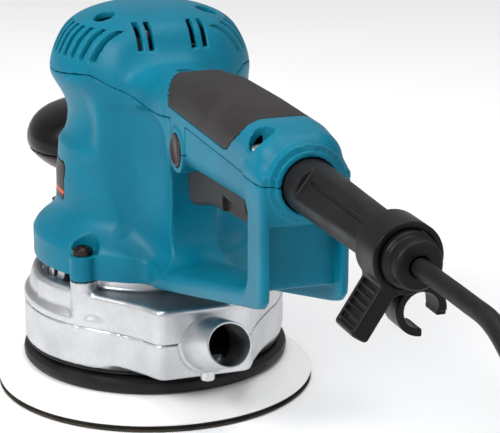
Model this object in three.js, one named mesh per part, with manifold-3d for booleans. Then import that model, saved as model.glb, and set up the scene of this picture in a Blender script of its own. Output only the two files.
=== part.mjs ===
// Random-orbit disc sander with a closed rear handle, a front palm grip and a dust outlet.
// Millimetres, +Z up. The origin is on the motor axis in the sanding plane; the handle and the
// mains lead point along +X, and the model is close to symmetric about the plane y = 0.
import * as THREE from "three";
import { mergeVertices } from "three/addons/utils/BufferGeometryUtils.js";
import Module from "manifold-3d";

const wasm = await Module();
wasm.setup();

// ---------------------------------------------------------------- driving dimensions

// Clearance between pieces.
const gap = 0.3;

// Sanding pad.
const padDiameter = 150;
const orbitStroke = 5.5;
const abrasiveThickness = 0.8;
const hookThickness = 1.0;
const foamThickness = 9.7;
const backingThickness = 6.7;
const backingRadius = 61.5;
const dustHoleRadius = 5;
const dustHoleCircleRadius = 40;
const dustHoleCount = 6;

// Cast lower housing and its dust outlet.
const castingRadius = 60;
const castingWall = 4;
const castingBottomZ = 22;
const castingSplitZ = 40.5;
const castingShoulderZ = 44.5;
const castingNeckZ = 54;
const bulkheadZ = 46.8;
const bulkheadThickness = 4;
const nozzleRootDiameter = 24.8;
const nozzleRimDiameter = 20;
const nozzleWall = 1;
const nozzleTilt = 17.8;
const nozzleLength = 36;
const outletFaceX = 75.5;
const outletHalfWidth = 21;
const outletCentreY = 1.7;
const outletTopZ = 56.2;

// Motor housing column.
const housingWall = 3;
const housingBaseZ = 61.5;
const flangeRadius = 55;
const flangeHeight = 12;
const columnRadius = 44.8;
const waistRadius = 38.4;
const waistZ = 132;
const capRadius = 45.3;
const seamZ = 149;
const domeTopZ = 177;
const ventWidth = 2.6;
const ventPitch = 5.6;
const sideVentCount = 8;
const ventStartRadius = 31;
const bossRadius = 5.6;
const bossCircleRadius = 55.5;
const bossHeight = 11.5;
const bossAngles = [50, 145, -145, -50];

// Rear handle.
const handleEndX = 203;
const handleHalfWidth = 17.5;
const handleTopZ = 165;
const handleSeamZ = 145.5;
const handleUnderFrontZ = 126;
const handleUnderRearZ = 132;
const fingerFrontX = 71;
const postThickness = 18;
const loopBottomZ = 99.5;
const armThickness = 11;
const flangeThickness = 3.6;
const webDepth = 6.5;
const overmoldStartX = 60;
const overmoldEndX = 168;
const overmoldEdgeZ = 151.5;
const overmoldThickness = 1.8;

// Front grip.
const gripTipX = -113;
const gripHalfWidth = 39;
const gripSeamZ = 92.5;
const gripTopZ = 115;
const gripBottomZ = 80;

// Controls.
const triggerFrontX = 82;
const triggerHalfWidth = 8;
const triggerPivotX = 150;
const triggerPivotZ = 138;
const lockX = 99.5;
const lockZ = 134.5;
const lockRadius = 6.9;

// Motor and drive.
const shaftRadius = 5;
const armatureRadius = 21.5;
const statorRadius = 35;
const statorBottomZ = 92;
const statorTopZ = 130;
const commutatorRadius = 11.5;
const fanRadius = 42;
const carrierRadius = 26;
const padBearingRadius = 16;
const padSpindleRadius = 6;
const lowerBearingRadius = 15;
const lowerBearingZ = 52.5;
const upperBearingRadius = 11;
const upperBearingZ = 155.5;

// Mains lead.
const cordRadius = 3.3;
const guardZ = 146.5;
const guardRootX = handleEndX - 12;
const guardEndX = 305;
const guardRootRadius = 10.2;
const guardTipRadius = 8.4;
const coilMeanRadius = 33;
const coilLanes = 3;
const coilLevels = 4;
const coilCentre = [412, 62];

// ---------------------------------------------------------------- derived values

const eccentricity = orbitStroke / 2;
const hookZ = abrasiveThickness + gap;
const foamZ = hookZ + hookThickness + gap;
const backingZ = foamZ + foamThickness + gap;
const backingTopZ = backingZ + backingThickness;
const handleMiddleZ = (handleTopZ + handleUnderFrontZ) / 2;
const bossTopZ = housingBaseZ + bossHeight;
const tilt = THREE.MathUtils.degToRad(nozzleTilt);
const degrees = THREE.MathUtils.degToRad;

// ---------------------------------------------------------------- materials

function plastic(color, roughness) {
  return new THREE.MeshStandardMaterial({ color, roughness, metalness: 0 });
}

function metal(color, roughness) {
  return new THREE.MeshStandardMaterial({ color, roughness, metalness: 1 });
}

const teal = plastic(0x008ca0, 0.45);
const softGrip = plastic(0x474444, 0.85);
const blackGloss = plastic(0x1c1b1b, 0.3);
const blackRubber = plastic(0x141414, 0.7);
const whiteFoam = plastic(0xe8e8e8, 0.9);
const abrasive = plastic(0x33302e, 1);
const castAluminium = metal(0xc4c4c4, 0.45);
const steel = metal(0xb4b4b8, 0.3);
const blackScrew = metal(0x2a2624, 0.4);
const copper = metal(0xb06a3a, 0.4);
const laminations = metal(0x75757a, 0.5);
const whiteNylon = plastic(0xd8d6d0, 0.6);
const carbon = plastic(0x26262a, 0.6);

// ---------------------------------------------------------------- solids

// Turns a closed three.js geometry into a manifold-3d solid with outward faces.
function solidOf(geometry) {
  const bare = geometry.index ? geometry.toNonIndexed() : geometry.clone();
  bare.deleteAttribute("normal");
  bare.deleteAttribute("uv");
  const merged = mergeVertices(bare, 1e-4);
  const source = merged.index.array;
  const triangles = [];
  for (let i = 0; i < source.length; i += 3) {
    const [a, b, c] = [source[i], source[i + 1], source[i + 2]];
    if (a !== b && b !== c && c !== a) triangles.push(a, b, c);
  }
  const vertProperties = new Float32Array(merged.attributes.position.array);
  const made = new wasm.Manifold(
    new wasm.Mesh({ numProp: 3, vertProperties, triVerts: new Uint32Array(triangles) }),
  );
  if (made.volume() > 0) return made;
  for (let i = 0; i < triangles.length; i += 3) {
    [triangles[i + 1], triangles[i + 2]] = [triangles[i + 2], triangles[i + 1]];
  }
  return new wasm.Manifold(
    new wasm.Mesh({ numProp: 3, vertProperties, triVerts: new Uint32Array(triangles) }),
  );
}

// Gives a solid's surface back as a flat-shaded three.js geometry.
function geometryOf(solid) {
  const made = solid.getMesh();
  const geometry = new THREE.BufferGeometry();
  geometry.setAttribute("position", new THREE.BufferAttribute(made.vertProperties, 3));
  geometry.setIndex(new THREE.BufferAttribute(made.triVerts, 1));
  geometry.computeVertexNormals();
  return geometry;
}

// A closed profile of [radius, z] points turned about the Z axis.
function turned(profile, segments = 28) {
  const points = profile.map(([radius, z]) => new THREE.Vector2(radius, z));
  points.push(points[0].clone());
  return solidOf(new THREE.LatheGeometry(points, segments).rotateX(Math.PI / 2));
}

// A ring or disc of rectangular section.
function ring(innerRadius, outerRadius, bottomZ, topZ, segments = 28) {
  return turned(
    [
      [innerRadius, bottomZ],
      [outerRadius, bottomZ],
      [outerRadius, topZ],
      [innerRadius, topZ],
    ],
    segments,
  );
}

function disc(radius, bottomZ, topZ, segments = 16) {
  const cylinder = new THREE.CylinderGeometry(radius, radius, topZ - bottomZ, segments);
  return solidOf(cylinder.rotateX(Math.PI / 2).translate(0, 0, (bottomZ + topZ) / 2));
}

function block([x0, x1], [y0, y1], [z0, z1]) {
  const box = new THREE.BoxGeometry(x1 - x0, y1 - y0, z1 - z0);
  return solidOf(box.translate((x0 + x1) / 2, (y0 + y1) / 2, (z0 + z1) / 2));
}

// A cylinder along X or Y.
function rodX(radius, x0, x1, y, z, segments = 16) {
  const rod = new THREE.CylinderGeometry(radius, radius, x1 - x0, segments);
  return solidOf(rod.rotateZ(Math.PI / 2).translate((x0 + x1) / 2, y, z));
}

function rodY(radius, y0, y1, x, z, segments = 16) {
  const rod = new THREE.CylinderGeometry(radius, radius, y1 - y0, segments);
  return solidOf(rod.translate(x, (y0 + y1) / 2, z));
}

// An outline in the XY plane raised from bottomZ to topZ.
function raised(shape, bottomZ, topZ, curveSegments = 4) {
  const depth = topZ - bottomZ;
  const made = new THREE.ExtrudeGeometry(shape, { depth, bevelEnabled: false, curveSegments });
  return solidOf(made.translate(0, 0, bottomZ));
}

// An outline in the XZ plane, given as (x, z) points, widened along Y.
function sideways(shape, y0, y1, curveSegments = 4) {
  const depth = y1 - y0;
  const made = new THREE.ExtrudeGeometry(shape, { depth, bevelEnabled: false, curveSegments });
  return solidOf(made.rotateX(Math.PI / 2).translate(0, y1, 0));
}

function polygon(points) {
  return new THREE.Shape(points.map(([x, y]) => new THREE.Vector2(x, y)));
}

// An outline whose corners are rounded by the radius given as each point's third number.
function roundedPolygon(points) {
  const shape = new THREE.Shape();
  const count = points.length;
  points.forEach(([x, y, radius = 0], i) => {
    const corner = new THREE.Vector2(x, y);
    const before = points[(i + count - 1) % count];
    const after = points[(i + 1) % count];
    const entry = new THREE.Vector2(before[0], before[1]).sub(corner).setLength(radius).add(corner);
    const exit = new THREE.Vector2(after[0], after[1]).sub(corner).setLength(radius).add(corner);
    if (i === 0) shape.moveTo(entry.x, entry.y);
    else shape.lineTo(entry.x, entry.y);
    if (radius > 0) shape.quadraticCurveTo(corner.x, corner.y, exit.x, exit.y);
  });
  shape.closePath();
  return shape;
}

// A closed skin through rings of equally many points, with a flat cap at each end.
function loft(rings) {
  const count = rings[0].length;
  const positions = rings.flat().flatMap((point) => [point.x, point.y, point.z]);
  const index = [];
  for (let r = 0; r + 1 < rings.length; r += 1) {
    for (let i = 0; i < count; i += 1) {
      const next = (i + 1) % count;
      const [a, b] = [r * count + i, r * count + next];
      const [c, d] = [a + count, b + count];
      index.push(a, b, d, a, d, c);
    }
  }
  const last = (rings.length - 1) * count;
  for (let i = 1; i + 1 < count; i += 1) {
    index.push(0, i + 1, i, last, last + i, last + i + 1);
  }
  const geometry = new THREE.BufferGeometry();
  geometry.setAttribute("position", new THREE.Float32BufferAttribute(positions, 3));
  geometry.setIndex(index);
  return solidOf(geometry);
}

// Points round a superellipse: power 2 is an ellipse, and higher powers are boxier.
function superellipse(halfWidth, halfHeight, power, count) {
  return Array.from({ length: count }, (_, i) => {
    const angle = (i / count) * 2 * Math.PI;
    const [c, s] = [Math.cos(angle), Math.sin(angle)];
    const u = halfWidth * Math.sign(c) * Math.abs(c) ** (2 / power);
    const v = halfHeight * Math.sign(s) * Math.abs(s) ** (2 / power);
    return [u, v];
  });
}

function union(solids) {
  return solids.reduce((all, solid) => all.add(solid));
}

function turnedBy(solid, degreesZ) {
  return solid.rotate([0, 0, degreesZ]);
}

function around(count, make) {
  return Array.from({ length: count }, (_, i) => make((i * 360) / count, i));
}

function polar(radius, angle) {
  return [radius * Math.cos(degrees(angle)), radius * Math.sin(degrees(angle))];
}

function part(name, solid, material) {
  const mesh = new THREE.Mesh(geometryOf(solid), material);
  mesh.name = name;
  return mesh;
}

// ---------------------------------------------------------------- housing forms

// The column's outline, moved inwards by inset, as [radius, z] points from the base to the top.
function columnProfile(inset) {
  const flangeTopZ = housingBaseZ + flangeHeight;
  const knots = [
    [flangeRadius, housingBaseZ],
    [flangeRadius, flangeTopZ],
    [flangeRadius - 1.8, flangeTopZ + 2.8],
    [columnRadius + 4, flangeTopZ + 6.5],
    [columnRadius + 0.8, flangeTopZ + 11.5],
    [columnRadius - 0.4, flangeTopZ + 18.5],
    [(columnRadius + waistRadius) / 2, (flangeTopZ + 18.5 + waistZ) / 2],
    [waistRadius, waistZ],
    [(waistRadius + capRadius) / 2 - 1.5, (waistZ + seamZ) / 2 - 1.5],
    [capRadius - 1.2, seamZ - 5.5],
    [capRadius, seamZ],
  ];
  const capHeight = domeTopZ - seamZ;
  const steps = 6;
  for (let i = 1; i <= steps; i += 1) {
    const turn = (i / steps) * (Math.PI / 2);
    const radius = capRadius * Math.cos(turn) ** 0.62;
    knots.push([i === steps ? 0 : radius, seamZ + capHeight * Math.sin(turn) ** 0.96]);
  }
  if (inset === 0) return knots;
  return knots.map(([radius, z], i) => {
    const before = knots[Math.max(i - 1, 0)];
    const after = knots[Math.min(i + 1, knots.length - 1)];
    const along = new THREE.Vector2(after[0] - before[0], after[1] - before[1]).normalize();
    if (i === knots.length - 1) return [0, z - inset];
    return [radius - along.y * inset, z + along.x * inset];
  });
}

function column(inset) {
  const profile = columnProfile(inset);
  return turned([[0, profile[0][1]], ...profile], 28);
}

// The room inside the column: a plainer form a wall's thickness inside it, open at the base.
function columnRoom() {
  const outside = columnProfile(housingWall);
  const profile = outside.filter(([radius], i) => i < 2 || i % 2 === 0 || radius === 0);
  const radius = profile[0][0];
  return turned([[0, housingBaseZ - 1], [radius, housingBaseZ - 1], ...profile], 20);
}

// The handle's upper bar: superellipse sections along X, moved inwards by inset.
function handleBar(inset, startX, endX) {
  const rise = (x) => {
    const share = THREE.MathUtils.clamp((x - fingerFrontX) / (handleEndX - fingerFrontX), 0, 1);
    return THREE.MathUtils.lerp(handleUnderFrontZ - 2, handleUnderRearZ + 1, share);
  };
  const stations = [
    [18, 14, handleTopZ - 10],
    [46, 15.5, handleTopZ - 8.5],
    [60, handleHalfWidth - 1, handleTopZ - 7],
    [74, handleHalfWidth, handleTopZ - 4],
    [100, handleHalfWidth, handleTopZ - 1],
    [140, handleHalfWidth, handleTopZ],
    [handleEndX - 20, handleHalfWidth, handleTopZ],
    [handleEndX - 8, handleHalfWidth - 0.6, handleTopZ - 1.5],
    [handleEndX - 2.5, handleHalfWidth - 2.6, handleTopZ - 4.5],
    [handleEndX, handleHalfWidth - 5, handleTopZ - 7.5],
  ];
  const kept = stations.filter(([x]) => x >= startX && x <= endX);
  return loft(
    kept.map(([x, halfWidth, top]) => {
      const bottom = rise(x) + inset;
      const halfHeight = (top - inset - bottom) / 2;
      const middle = bottom + halfHeight;
      const section = superellipse(halfWidth - inset, halfHeight, 3, 20);
      return section.map(([y, z]) => new THREE.Vector3(x, y, middle + z));
    }),
  );
}

// The line of the arm's top edge under the finger opening.
function armTopZ(x) {
  const slope = (loopBottomZ + armThickness - 5 - 79) / (handleEndX - postThickness - 84);
  return 79 + (x - 84) * slope;
}

// The outline of the closed loop behind the column: nose, arm and rear post.
function loopOutline(inset) {
  const armFootX = 60;
  return roundedPolygon([
    [20, housingBaseZ + inset],
    [armFootX, housingBaseZ + inset, 6],
    [handleEndX - inset, loopBottomZ + inset, 9],
    [handleEndX - inset, handleMiddleZ, 0],
    [20, handleMiddleZ],
  ]);
}

function fingerOutline() {
  const rearX = handleEndX - postThickness;
  return roundedPolygon([
    [fingerFrontX, handleMiddleZ],
    [fingerFrontX, armTopZ(fingerFrontX + 8), 12],
    [rearX, armTopZ(rearX), 8],
    [rearX, handleMiddleZ],
  ]);
}

// The loop with its recessed outer web between two side flanges.
function loopFrame() {
  const webHalf = handleHalfWidth - flangeThickness;
  const outer = sideways(loopOutline(0), -handleHalfWidth, handleHalfWidth);
  const opening = sideways(fingerOutline(), -handleHalfWidth - 1, handleHalfWidth + 1);
  const band = sideways(loopOutline(0), -webHalf, webHalf);
  const core = sideways(loopOutline(webDepth), -webHalf - 1, webHalf + 1);
  const behindBase = block([flangeRadius + 16, 400], [-50, 50], [0, handleUnderRearZ]);
  return outer.subtract(opening).subtract(band.subtract(core).intersect(behindBase));
}

function bossAt(radius, topRadius, angle, bottomZ, topZ) {
  const [x, y] = polar(bossCircleRadius, angle);
  const cone = new THREE.CylinderGeometry(topRadius, radius, topZ - bottomZ, 12);
  return solidOf(cone.rotateX(Math.PI / 2).translate(x, y, (bottomZ + topZ) / 2));
}

// The ribs and screw bosses round the base flange.
function baseBosses() {
  return union(
    bossAngles.map((angle) => {
      const reach = [flangeRadius - 6, bossCircleRadius];
      const web = block(reach, [-bossRadius, bossRadius], [housingBaseZ, bossTopZ]);
      return turnedBy(web, angle).add(bossAt(bossRadius, bossRadius, angle, housingBaseZ, bossTopZ));
    }),
  );
}

// The wall thickened behind each boss, to hold the room cut for the screw's head and driver.
function bossBacks() {
  const back = bossRadius + 5;
  const posts = bossAngles.map((angle) => bossAt(back, back, angle, housingBaseZ, bossTopZ + 14));
  return union(posts).intersect(column(0));
}

function driverRooms() {
  const room = bossRadius + 1.9;
  return union(bossAngles.map((angle) => bossAt(room, room, angle, bossTopZ, bossTopZ + 30)));
}

// The concentric collars where the lead leaves the handle.
function rearCollar() {
  const outer = rodX(15, handleEndX - 12, handleEndX + 1.5, 0, guardZ, 20);
  return outer.add(rodX(13, handleEndX - 12, handleEndX + 3, 0, guardZ, 20));
}

function lockBosses() {
  const reach = handleHalfWidth + 0.8;
  return rodY(lockRadius + 2.6, -reach, reach, lockX, lockZ, 16);
}

function bodyForm() {
  return union([
    column(0),
    handleBar(0, 0, handleEndX),
    loopFrame(),
    baseBosses(),
    rearCollar(),
    lockBosses(),
  ]);
}

// Everything above the seam between the motor housing and its top cover.
function coverSide(shift) {
  const tabFront = lockX - 10.5 + shift;
  const tabRear = lockX + 8 - shift;
  const far = handleEndX + 60;
  return sideways(
    polygon([
      [-80, seamZ + shift],
      [tabFront - 2 * shift - 4, seamZ + shift],
      [tabFront, seamZ - 2.5 + shift],
      [tabFront, lockZ + shift],
      [tabRear, lockZ + shift],
      [tabRear, seamZ - 1 + shift],
      [tabRear + 8, handleSeamZ + shift],
      [far, handleSeamZ + shift],
      [far, domeTopZ + 20],
      [-80, domeTopZ + 20],
    ]),
    -80,
    80,
  );
}

// ---------------------------------------------------------------- screws in the cover

const domeScrew = { x: 10.2, y: 23, headZ: 167 };
const saddleScrew = { x: 57, y: 0, headZ: 154 };
const rearScrew = { x: handleEndX - 15, y: -12, headZ: guardZ + guardRootRadius - 0.7 };
const coverScrews = {
  cover_screw_left: { ...domeScrew, y: -domeScrew.y },
  cover_screw_right: domeScrew,
  cover_screw_saddle: saddleScrew,
  cover_screw_rear: rearScrew,
};
const screwHeadRadius = 3.8;
const screwHeadHeight = 2.6;
const screwShankRadius = 2;

function screwRecess({ x, y, headZ }) {
  return disc(screwHeadRadius + 1, headZ, domeTopZ + 10, 12).translate([x, y, 0]);
}

function screwPassage({ x, y, headZ }, depth) {
  const passage = disc(screwShankRadius + gap, headZ - depth, headZ + 1, 8);
  return passage.translate([x, y, 0]);
}

// ---------------------------------------------------------------- top cover

function sideVents() {
  const first = -14;
  const slots = Array.from({ length: sideVentCount }, (_, i) => {
    const x = first + i * ventPitch;
    const reach = [Math.sqrt(ventStartRadius ** 2 - x ** 2), Math.sqrt(capRadius ** 2 - x ** 2) + 4];
    return [-1, 1].map((side) => {
      const slot = block([x, x + ventWidth], reach, [seamZ + 8, seamZ + 21]);
      return side > 0 ? slot : slot.scale([1, -1, 1]);
    });
  });
  return union(slots.flat());
}

function rearVents() {
  const [bottomZ, topZ] = [seamZ + 14.5, seamZ + 24];
  const slots = [-15, -9, 9, 15].map((y) => {
    return block([24, capRadius + 2], [y - ventWidth / 2, y + ventWidth / 2], [bottomZ, topZ]);
  });
  return union(slots);
}

function upperBearingSeat() {
  const seat = ring(upperBearingRadius + gap, upperBearingRadius + gap + 3, upperBearingZ - 1, domeTopZ);
  return seat.intersect(column(1));
}

function overmoldRegion(margin) {
  const outline = roundedPolygon([
    [overmoldStartX - margin, overmoldEdgeZ - margin, 4],
    [overmoldEndX - 6 + margin, overmoldEdgeZ - margin, 3],
    [overmoldEndX + 6 + margin, domeTopZ],
    [overmoldStartX - margin + 4, domeTopZ],
  ]);
  return sideways(outline, -60, 60);
}

function topCover() {
  const cavity = union([
    columnRoom(),
    handleBar(housingWall, 0, handleEndX - 20),
    block([30, fingerFrontX], [-handleHalfWidth + 4, handleHalfWidth - 4], [housingBaseZ + 4, seamZ + 1]),
  ]);
  const skinDepth = overmoldThickness + gap;
  const overmoldPocket = overmoldRegion(gap).subtract(handleBar(skinDepth, 0, handleEndX));
  const screws = Object.values(coverScrews);
  const bosses = screws.slice(0, 3).map(({ x, y }) => {
    return disc(screwHeadRadius + 1, seamZ, domeTopZ, 12).translate([x, y, 0]);
  });
  const insideForm = column(1).add(handleBar(1, 0, handleEndX));
  let cover = bodyForm().subtract(cavity);
  cover = cover.add(union(bosses).intersect(insideForm)).add(upperBearingSeat());
  cover = cover.subtract(union(screws.map(screwRecess)));
  cover = cover.subtract(union(screws.map((screw) => screwPassage(screw, 40))));
  cover = cover.subtract(sideVents()).subtract(rearVents()).subtract(overmoldPocket);
  cover = cover.subtract(guardPassage()).subtract(lockPassage());
  return largest(cover.intersect(coverSide(gap / 2)));
}

// The largest of a solid's separate bodies: cuts through thin walls leave small crumbs behind.
function largest(solid) {
  const bodies = solid.decompose();
  return bodies.reduce((best, body) => (body.volume() > best.volume() ? body : best));
}

function handleOvermold() {
  const bar = handleBar(0, 0, handleEndX).subtract(handleBar(overmoldThickness, 0, handleEndX));
  const clearOfColumn = column(-gap);
  return largest(bar.intersect(overmoldRegion(0)).subtract(clearOfColumn));
}

// ---------------------------------------------------------------- motor housing

const triggerSlot = { x0: triggerFrontX - 2, x1: triggerPivotX + 10 };

function guardPassage() {
  const bore = rodX(guardRootRadius + gap, handleEndX - 26, handleEndX + 10, 0, guardZ, 20);
  const groove = rodX(guardRootRadius + 2.6, guardRootX - gap, guardRootX + 3 + gap, 0, guardZ, 20);
  return bore.add(groove);
}

function lockPassage() {
  return rodY(lockRadius + gap, -40, -handleHalfWidth + 8, lockX, lockZ, 16);
}

function motorHousing() {
  const slotHalf = triggerHalfWidth + gap * 2;
  const cavity = union([
    columnRoom(),
    handleBar(housingWall, 0, handleEndX - 20),
    block([30, fingerFrontX - 4], [-handleHalfWidth + 4, handleHalfWidth - 4], [
      housingBaseZ + 4,
      handleMiddleZ,
    ]),
    block([triggerSlot.x0, triggerSlot.x1], [-slotHalf, slotHalf], [100, handleMiddleZ]),
  ]);
  const pillars = [
    pillar(domeScrew, waistZ + 8),
    pillar({ ...domeScrew, y: -domeScrew.y }, waistZ + 8),
    disc(5.5, housingBaseZ + 3, seamZ, 16).translate([saddleScrew.x, saddleScrew.y, 0]),
  ];
  const holes = [
    ...Object.values(coverScrews).map((screw) => screwPassage(screw, 26)),
    ...bossAngles.map((angle) => bossAt(2.6, 2.6, angle, housingBaseZ - 1, housingBaseZ + 20)),
    rodX(4 + gap, -60, -25, 0, gripBoltZ, 16),
    rodY(2 + gap, -handleHalfWidth + 1.5, handleHalfWidth - 1.5, triggerPivotX, triggerPivotZ, 12),
  ];
  let housing = bodyForm().subtract(cavity);
  housing = housing.add(union(pillars)).add(bossBacks()).subtract(driverRooms());
  housing = housing.subtract(union(holes));
  housing = housing.subtract(guardPassage()).subtract(lockPassage()).subtract(badgePocket());
  return largest(housing.subtract(coverSide(-gap / 2)));
}

// A screw pillar joined to the column wall by a rib.
function pillar({ x, y }, bottomZ) {
  const post = disc(4.6, bottomZ, seamZ, 16).translate([x, y, 0]);
  const angle = THREE.MathUtils.radToDeg(Math.atan2(y, x));
  const from = Math.hypot(x, y);
  const rib = turnedBy(block([from, capRadius - 1.5], [-2, 2], [bottomZ, seamZ]), angle);
  return post.add(rib.intersect(column(1)));
}

// ---------------------------------------------------------------- badge

const badge = { angle: -119, width: 58, height: 17, z: 98.5, thickness: 0.8 };

// The wedge of space outside the column's skin, cut depth deep, that the badge fills.
function badgeSector(margin, depth) {
  const half = badge.height / 2 + margin;
  const sweep = THREE.MathUtils.radToDeg((badge.width / 2 + margin) / columnRadius);
  const outline = new THREE.Shape();
  outline.moveTo(0, 0);
  outline.lineTo(...polar(80, badge.angle - sweep));
  outline.absarc(0, 0, 80, degrees(badge.angle - sweep), degrees(badge.angle + sweep), false);
  outline.lineTo(0, 0);
  const wedge = raised(outline, badge.z - half, badge.z + half, 12);
  return wedge.subtract(column(depth));
}

function badgePocket() {
  return badgeSector(gap, badge.thickness + 2 * gap);
}

function badgePlate() {
  return badgeSector(0, badge.thickness).intersect(column(0));
}

// ---------------------------------------------------------------- castings

// The plan of the outlet box that swells out of the round casting.
function outletOutline(inset) {
  const left = outletCentreY - outletHalfWidth + inset;
  const right = outletCentreY + outletHalfWidth - inset;
  const face = outletFaceX - inset;
  return polygon([
    [20, -castingRadius + 6 + inset],
    [38, -castingRadius + 12 + inset],
    [58, -castingRadius + 26 + inset],
    [face - 6, left - 3],
    [face, left + 2],
    [face, right - 2],
    [face - 6, right + 3],
    [58, castingRadius - 26 - inset],
    [38, castingRadius - 12 - inset],
    [20, castingRadius - 6 - inset],
  ]);
}

const nozzleRoot = { x: 72, y: 2.5, z: 38.7 };

// The tube's taper, moved outwards by offset, between two distances from its root.
function nozzleRod(offset, from, to, segments = 28) {
  const radiusAt = (along) => {
    const share = along / nozzleLength;
    return THREE.MathUtils.lerp(nozzleRootDiameter, nozzleRimDiameter, share) / 2 + offset;
  };
  const rod = new THREE.CylinderGeometry(radiusAt(to), radiusAt(from), to - from, segments);
  rod.rotateZ(-Math.PI / 2).translate((from + to) / 2, 0, 0);
  rod.rotateY(-tilt).translate(nozzleRoot.x, nozzleRoot.y, nozzleRoot.z);
  return solidOf(rod);
}

function gearHousing() {
  const inner = castingRadius - castingWall;
  const topZ = housingBaseZ - gap;
  const neckRadius = flangeRadius - 0.6;
  const plateTopZ = bulkheadZ + bulkheadThickness;
  const seatRadius = lowerBearingRadius + gap;
  const shell = turned([
    [castingRadius, castingSplitZ + gap / 2],
    [castingRadius, castingShoulderZ],
    [neckRadius, castingNeckZ],
    [neckRadius, topZ],
    [neckRadius - castingWall, topZ],
    [neckRadius - castingWall, plateTopZ],
    [seatRadius + 4, plateTopZ],
    [seatRadius + 4, lowerBearingZ + 9],
    [seatRadius, lowerBearingZ + 9],
    [seatRadius, lowerBearingZ - gap],
    [seatRadius - 3, lowerBearingZ - gap],
    [seatRadius - 3, bulkheadZ],
    [inner - 4, bulkheadZ],
    [inner, bulkheadZ - 4],
    [inner, castingSplitZ + gap / 2],
  ]);
  const box = raised(outletOutline(0), castingSplitZ + gap / 2, outletTopZ);
  const boxRoom = raised(outletOutline(castingWall), castingSplitZ - 10, bulkheadZ);
  const chamber = disc(inner, 0, bulkheadZ - 4, 28);
  const aboveShoulder = disc(neckRadius - 1, castingNeckZ, 80, 28);
  const bosses = bossAngles.map((angle) => bossAt(2.6, 5.2, angle, castingShoulderZ - 1, topZ));
  const vents = around(30, (angle) => {
    return turnedBy(block([neckRadius - 8, neckRadius + 3], [-2.4, 2.4], [plateTopZ + 0.4, topZ - 1.6]), angle);
  }).filter((_, i) => clearOfBosses(i * 12));
  const holes = bossAngles.map((angle) => bossAt(2.6, 2.6, angle, castingShoulderZ + 1, topZ + 1));
  let casting = box.subtract(boxRoom).subtract(chamber).subtract(aboveShoulder);
  casting = casting.add(shell).add(union(bosses).subtract(disc(inner, 0, 80, 28)));
  casting = casting.add(nozzleRod(0, -1.5, nozzleLength));
  casting = casting.subtract(nozzleRod(-nozzleWall, -12, nozzleLength + 2));
  casting = casting.subtract(union(vents)).subtract(union(holes));
  return largest(casting);
}

// Vent windows stay away from the screw bosses and from the outlet box.
function clearOfBosses(angle) {
  const signed = angle > 180 ? angle - 360 : angle;
  return Math.abs(signed) > 60 && bossAngles.every((boss) => Math.abs(boss - signed) > 9);
}

function skirtCasting() {
  const inner = castingRadius - castingWall;
  const topZ = castingSplitZ - gap / 2;
  const wall = ring(inner, castingRadius, castingBottomZ, topZ);
  const box = raised(outletOutline(0), castingBottomZ + 2, topZ);
  const boxRoom = raised(outletOutline(castingWall), castingBottomZ + 5, topZ + 5);
  const chamber = disc(inner, 0, topZ + 5, 28);
  const screwBoss = disc(3.2, castingBottomZ + 2, castingBottomZ + 8, 14);
  const rootBoss = screwBoss.translate([outletFaceX + 1, outletCentreY, 0]);
  let casting = box.add(rootBoss).subtract(chamber).subtract(boxRoom).add(wall);
  casting = casting.subtract(boxRoom.subtract(disc(inner - 1, 0, 80, 28)));
  casting = casting.subtract(nozzleRod(gap, -14, nozzleLength));
  return largest(casting);
}

function dustSeal() {
  const outer = castingRadius - 0.6;
  return turned([
    [outer - 7, backingTopZ + 0.6],
    [outer, backingTopZ + 0.6],
    [outer, castingBottomZ - gap],
    [outer - 3.8, castingBottomZ - gap],
    [outer - 3.8, castingBottomZ + 3],
    [outer - 7, castingBottomZ + 3],
  ]);
}

// ---------------------------------------------------------------- front grip

const gripBoltZ = 86;
const gripCentreX = (gripTipX - columnRadius - 1.6) / 2;
const gripHalfLength = (-columnRadius - 1.6 - gripTipX) / 2;

function gripSection(lengthShare, widthShare, z) {
  const section = superellipse(gripHalfLength * lengthShare, gripHalfWidth * widthShare, 2.15, 28);
  return section.map(([x, y]) => new THREE.Vector3(gripCentreX + x, y, z));
}

function frontGripBase() {
  const height = gripSeamZ - gripBottomZ;
  const bowl = loft([
    gripSection(0.6, 0.62, gripBottomZ),
    gripSection(0.76, 0.76, gripBottomZ + height * 0.25),
    gripSection(0.9, 0.9, gripBottomZ + height * 0.62),
    gripSection(1, 1, gripSeamZ - gap / 2),
  ]);
  const neck = block([gripCentreX, -flangeRadius + 14], [-11, 11], [gripBottomZ, gripSeamZ - 1.5]);
  const toolPocket = block([gripCentreX - 8, gripCentreX + 6], [-7, 7], [gripBottomZ - 1, gripBoltZ + 7 - gap]);
  const boltHole = rodX(4 + gap, gripCentreX, -20, 0, gripBoltZ, 16);
  return largest(
    bowl.add(neck).subtract(column(-gap)).subtract(toolPocket).subtract(boltHole),
  );
}

function frontGripCap() {
  const height = gripTopZ - gripSeamZ;
  return loft([
    gripSection(1, 1, gripSeamZ + gap / 2),
    gripSection(1.01, 1.01, gripSeamZ + height * 0.22),
    gripSection(0.96, 0.97, gripSeamZ + height * 0.46),
    gripSection(0.84, 0.87, gripSeamZ + height * 0.7),
    gripSection(0.62, 0.68, gripSeamZ + height * 0.88),
    gripSection(0.3, 0.36, gripTopZ),
  ]);
}

function frontGripBolt() {
  const head = rodX(6.2, gripCentreX - 1, gripCentreX + 6 - gap, 0, gripBoltZ, 6);
  return head.add(rodX(4, gripCentreX + 5, -columnRadius + 6, 0, gripBoltZ, 16));
}

// ---------------------------------------------------------------- motor

function statorCore() {
  const yoke = ring(armatureRadius + 0.8, statorRadius, statorBottomZ, statorTopZ, 28);
  return yoke.subtract(coilWindow(0.3)).subtract(turnedBy(coilWindow(0.3), 180));
}

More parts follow.
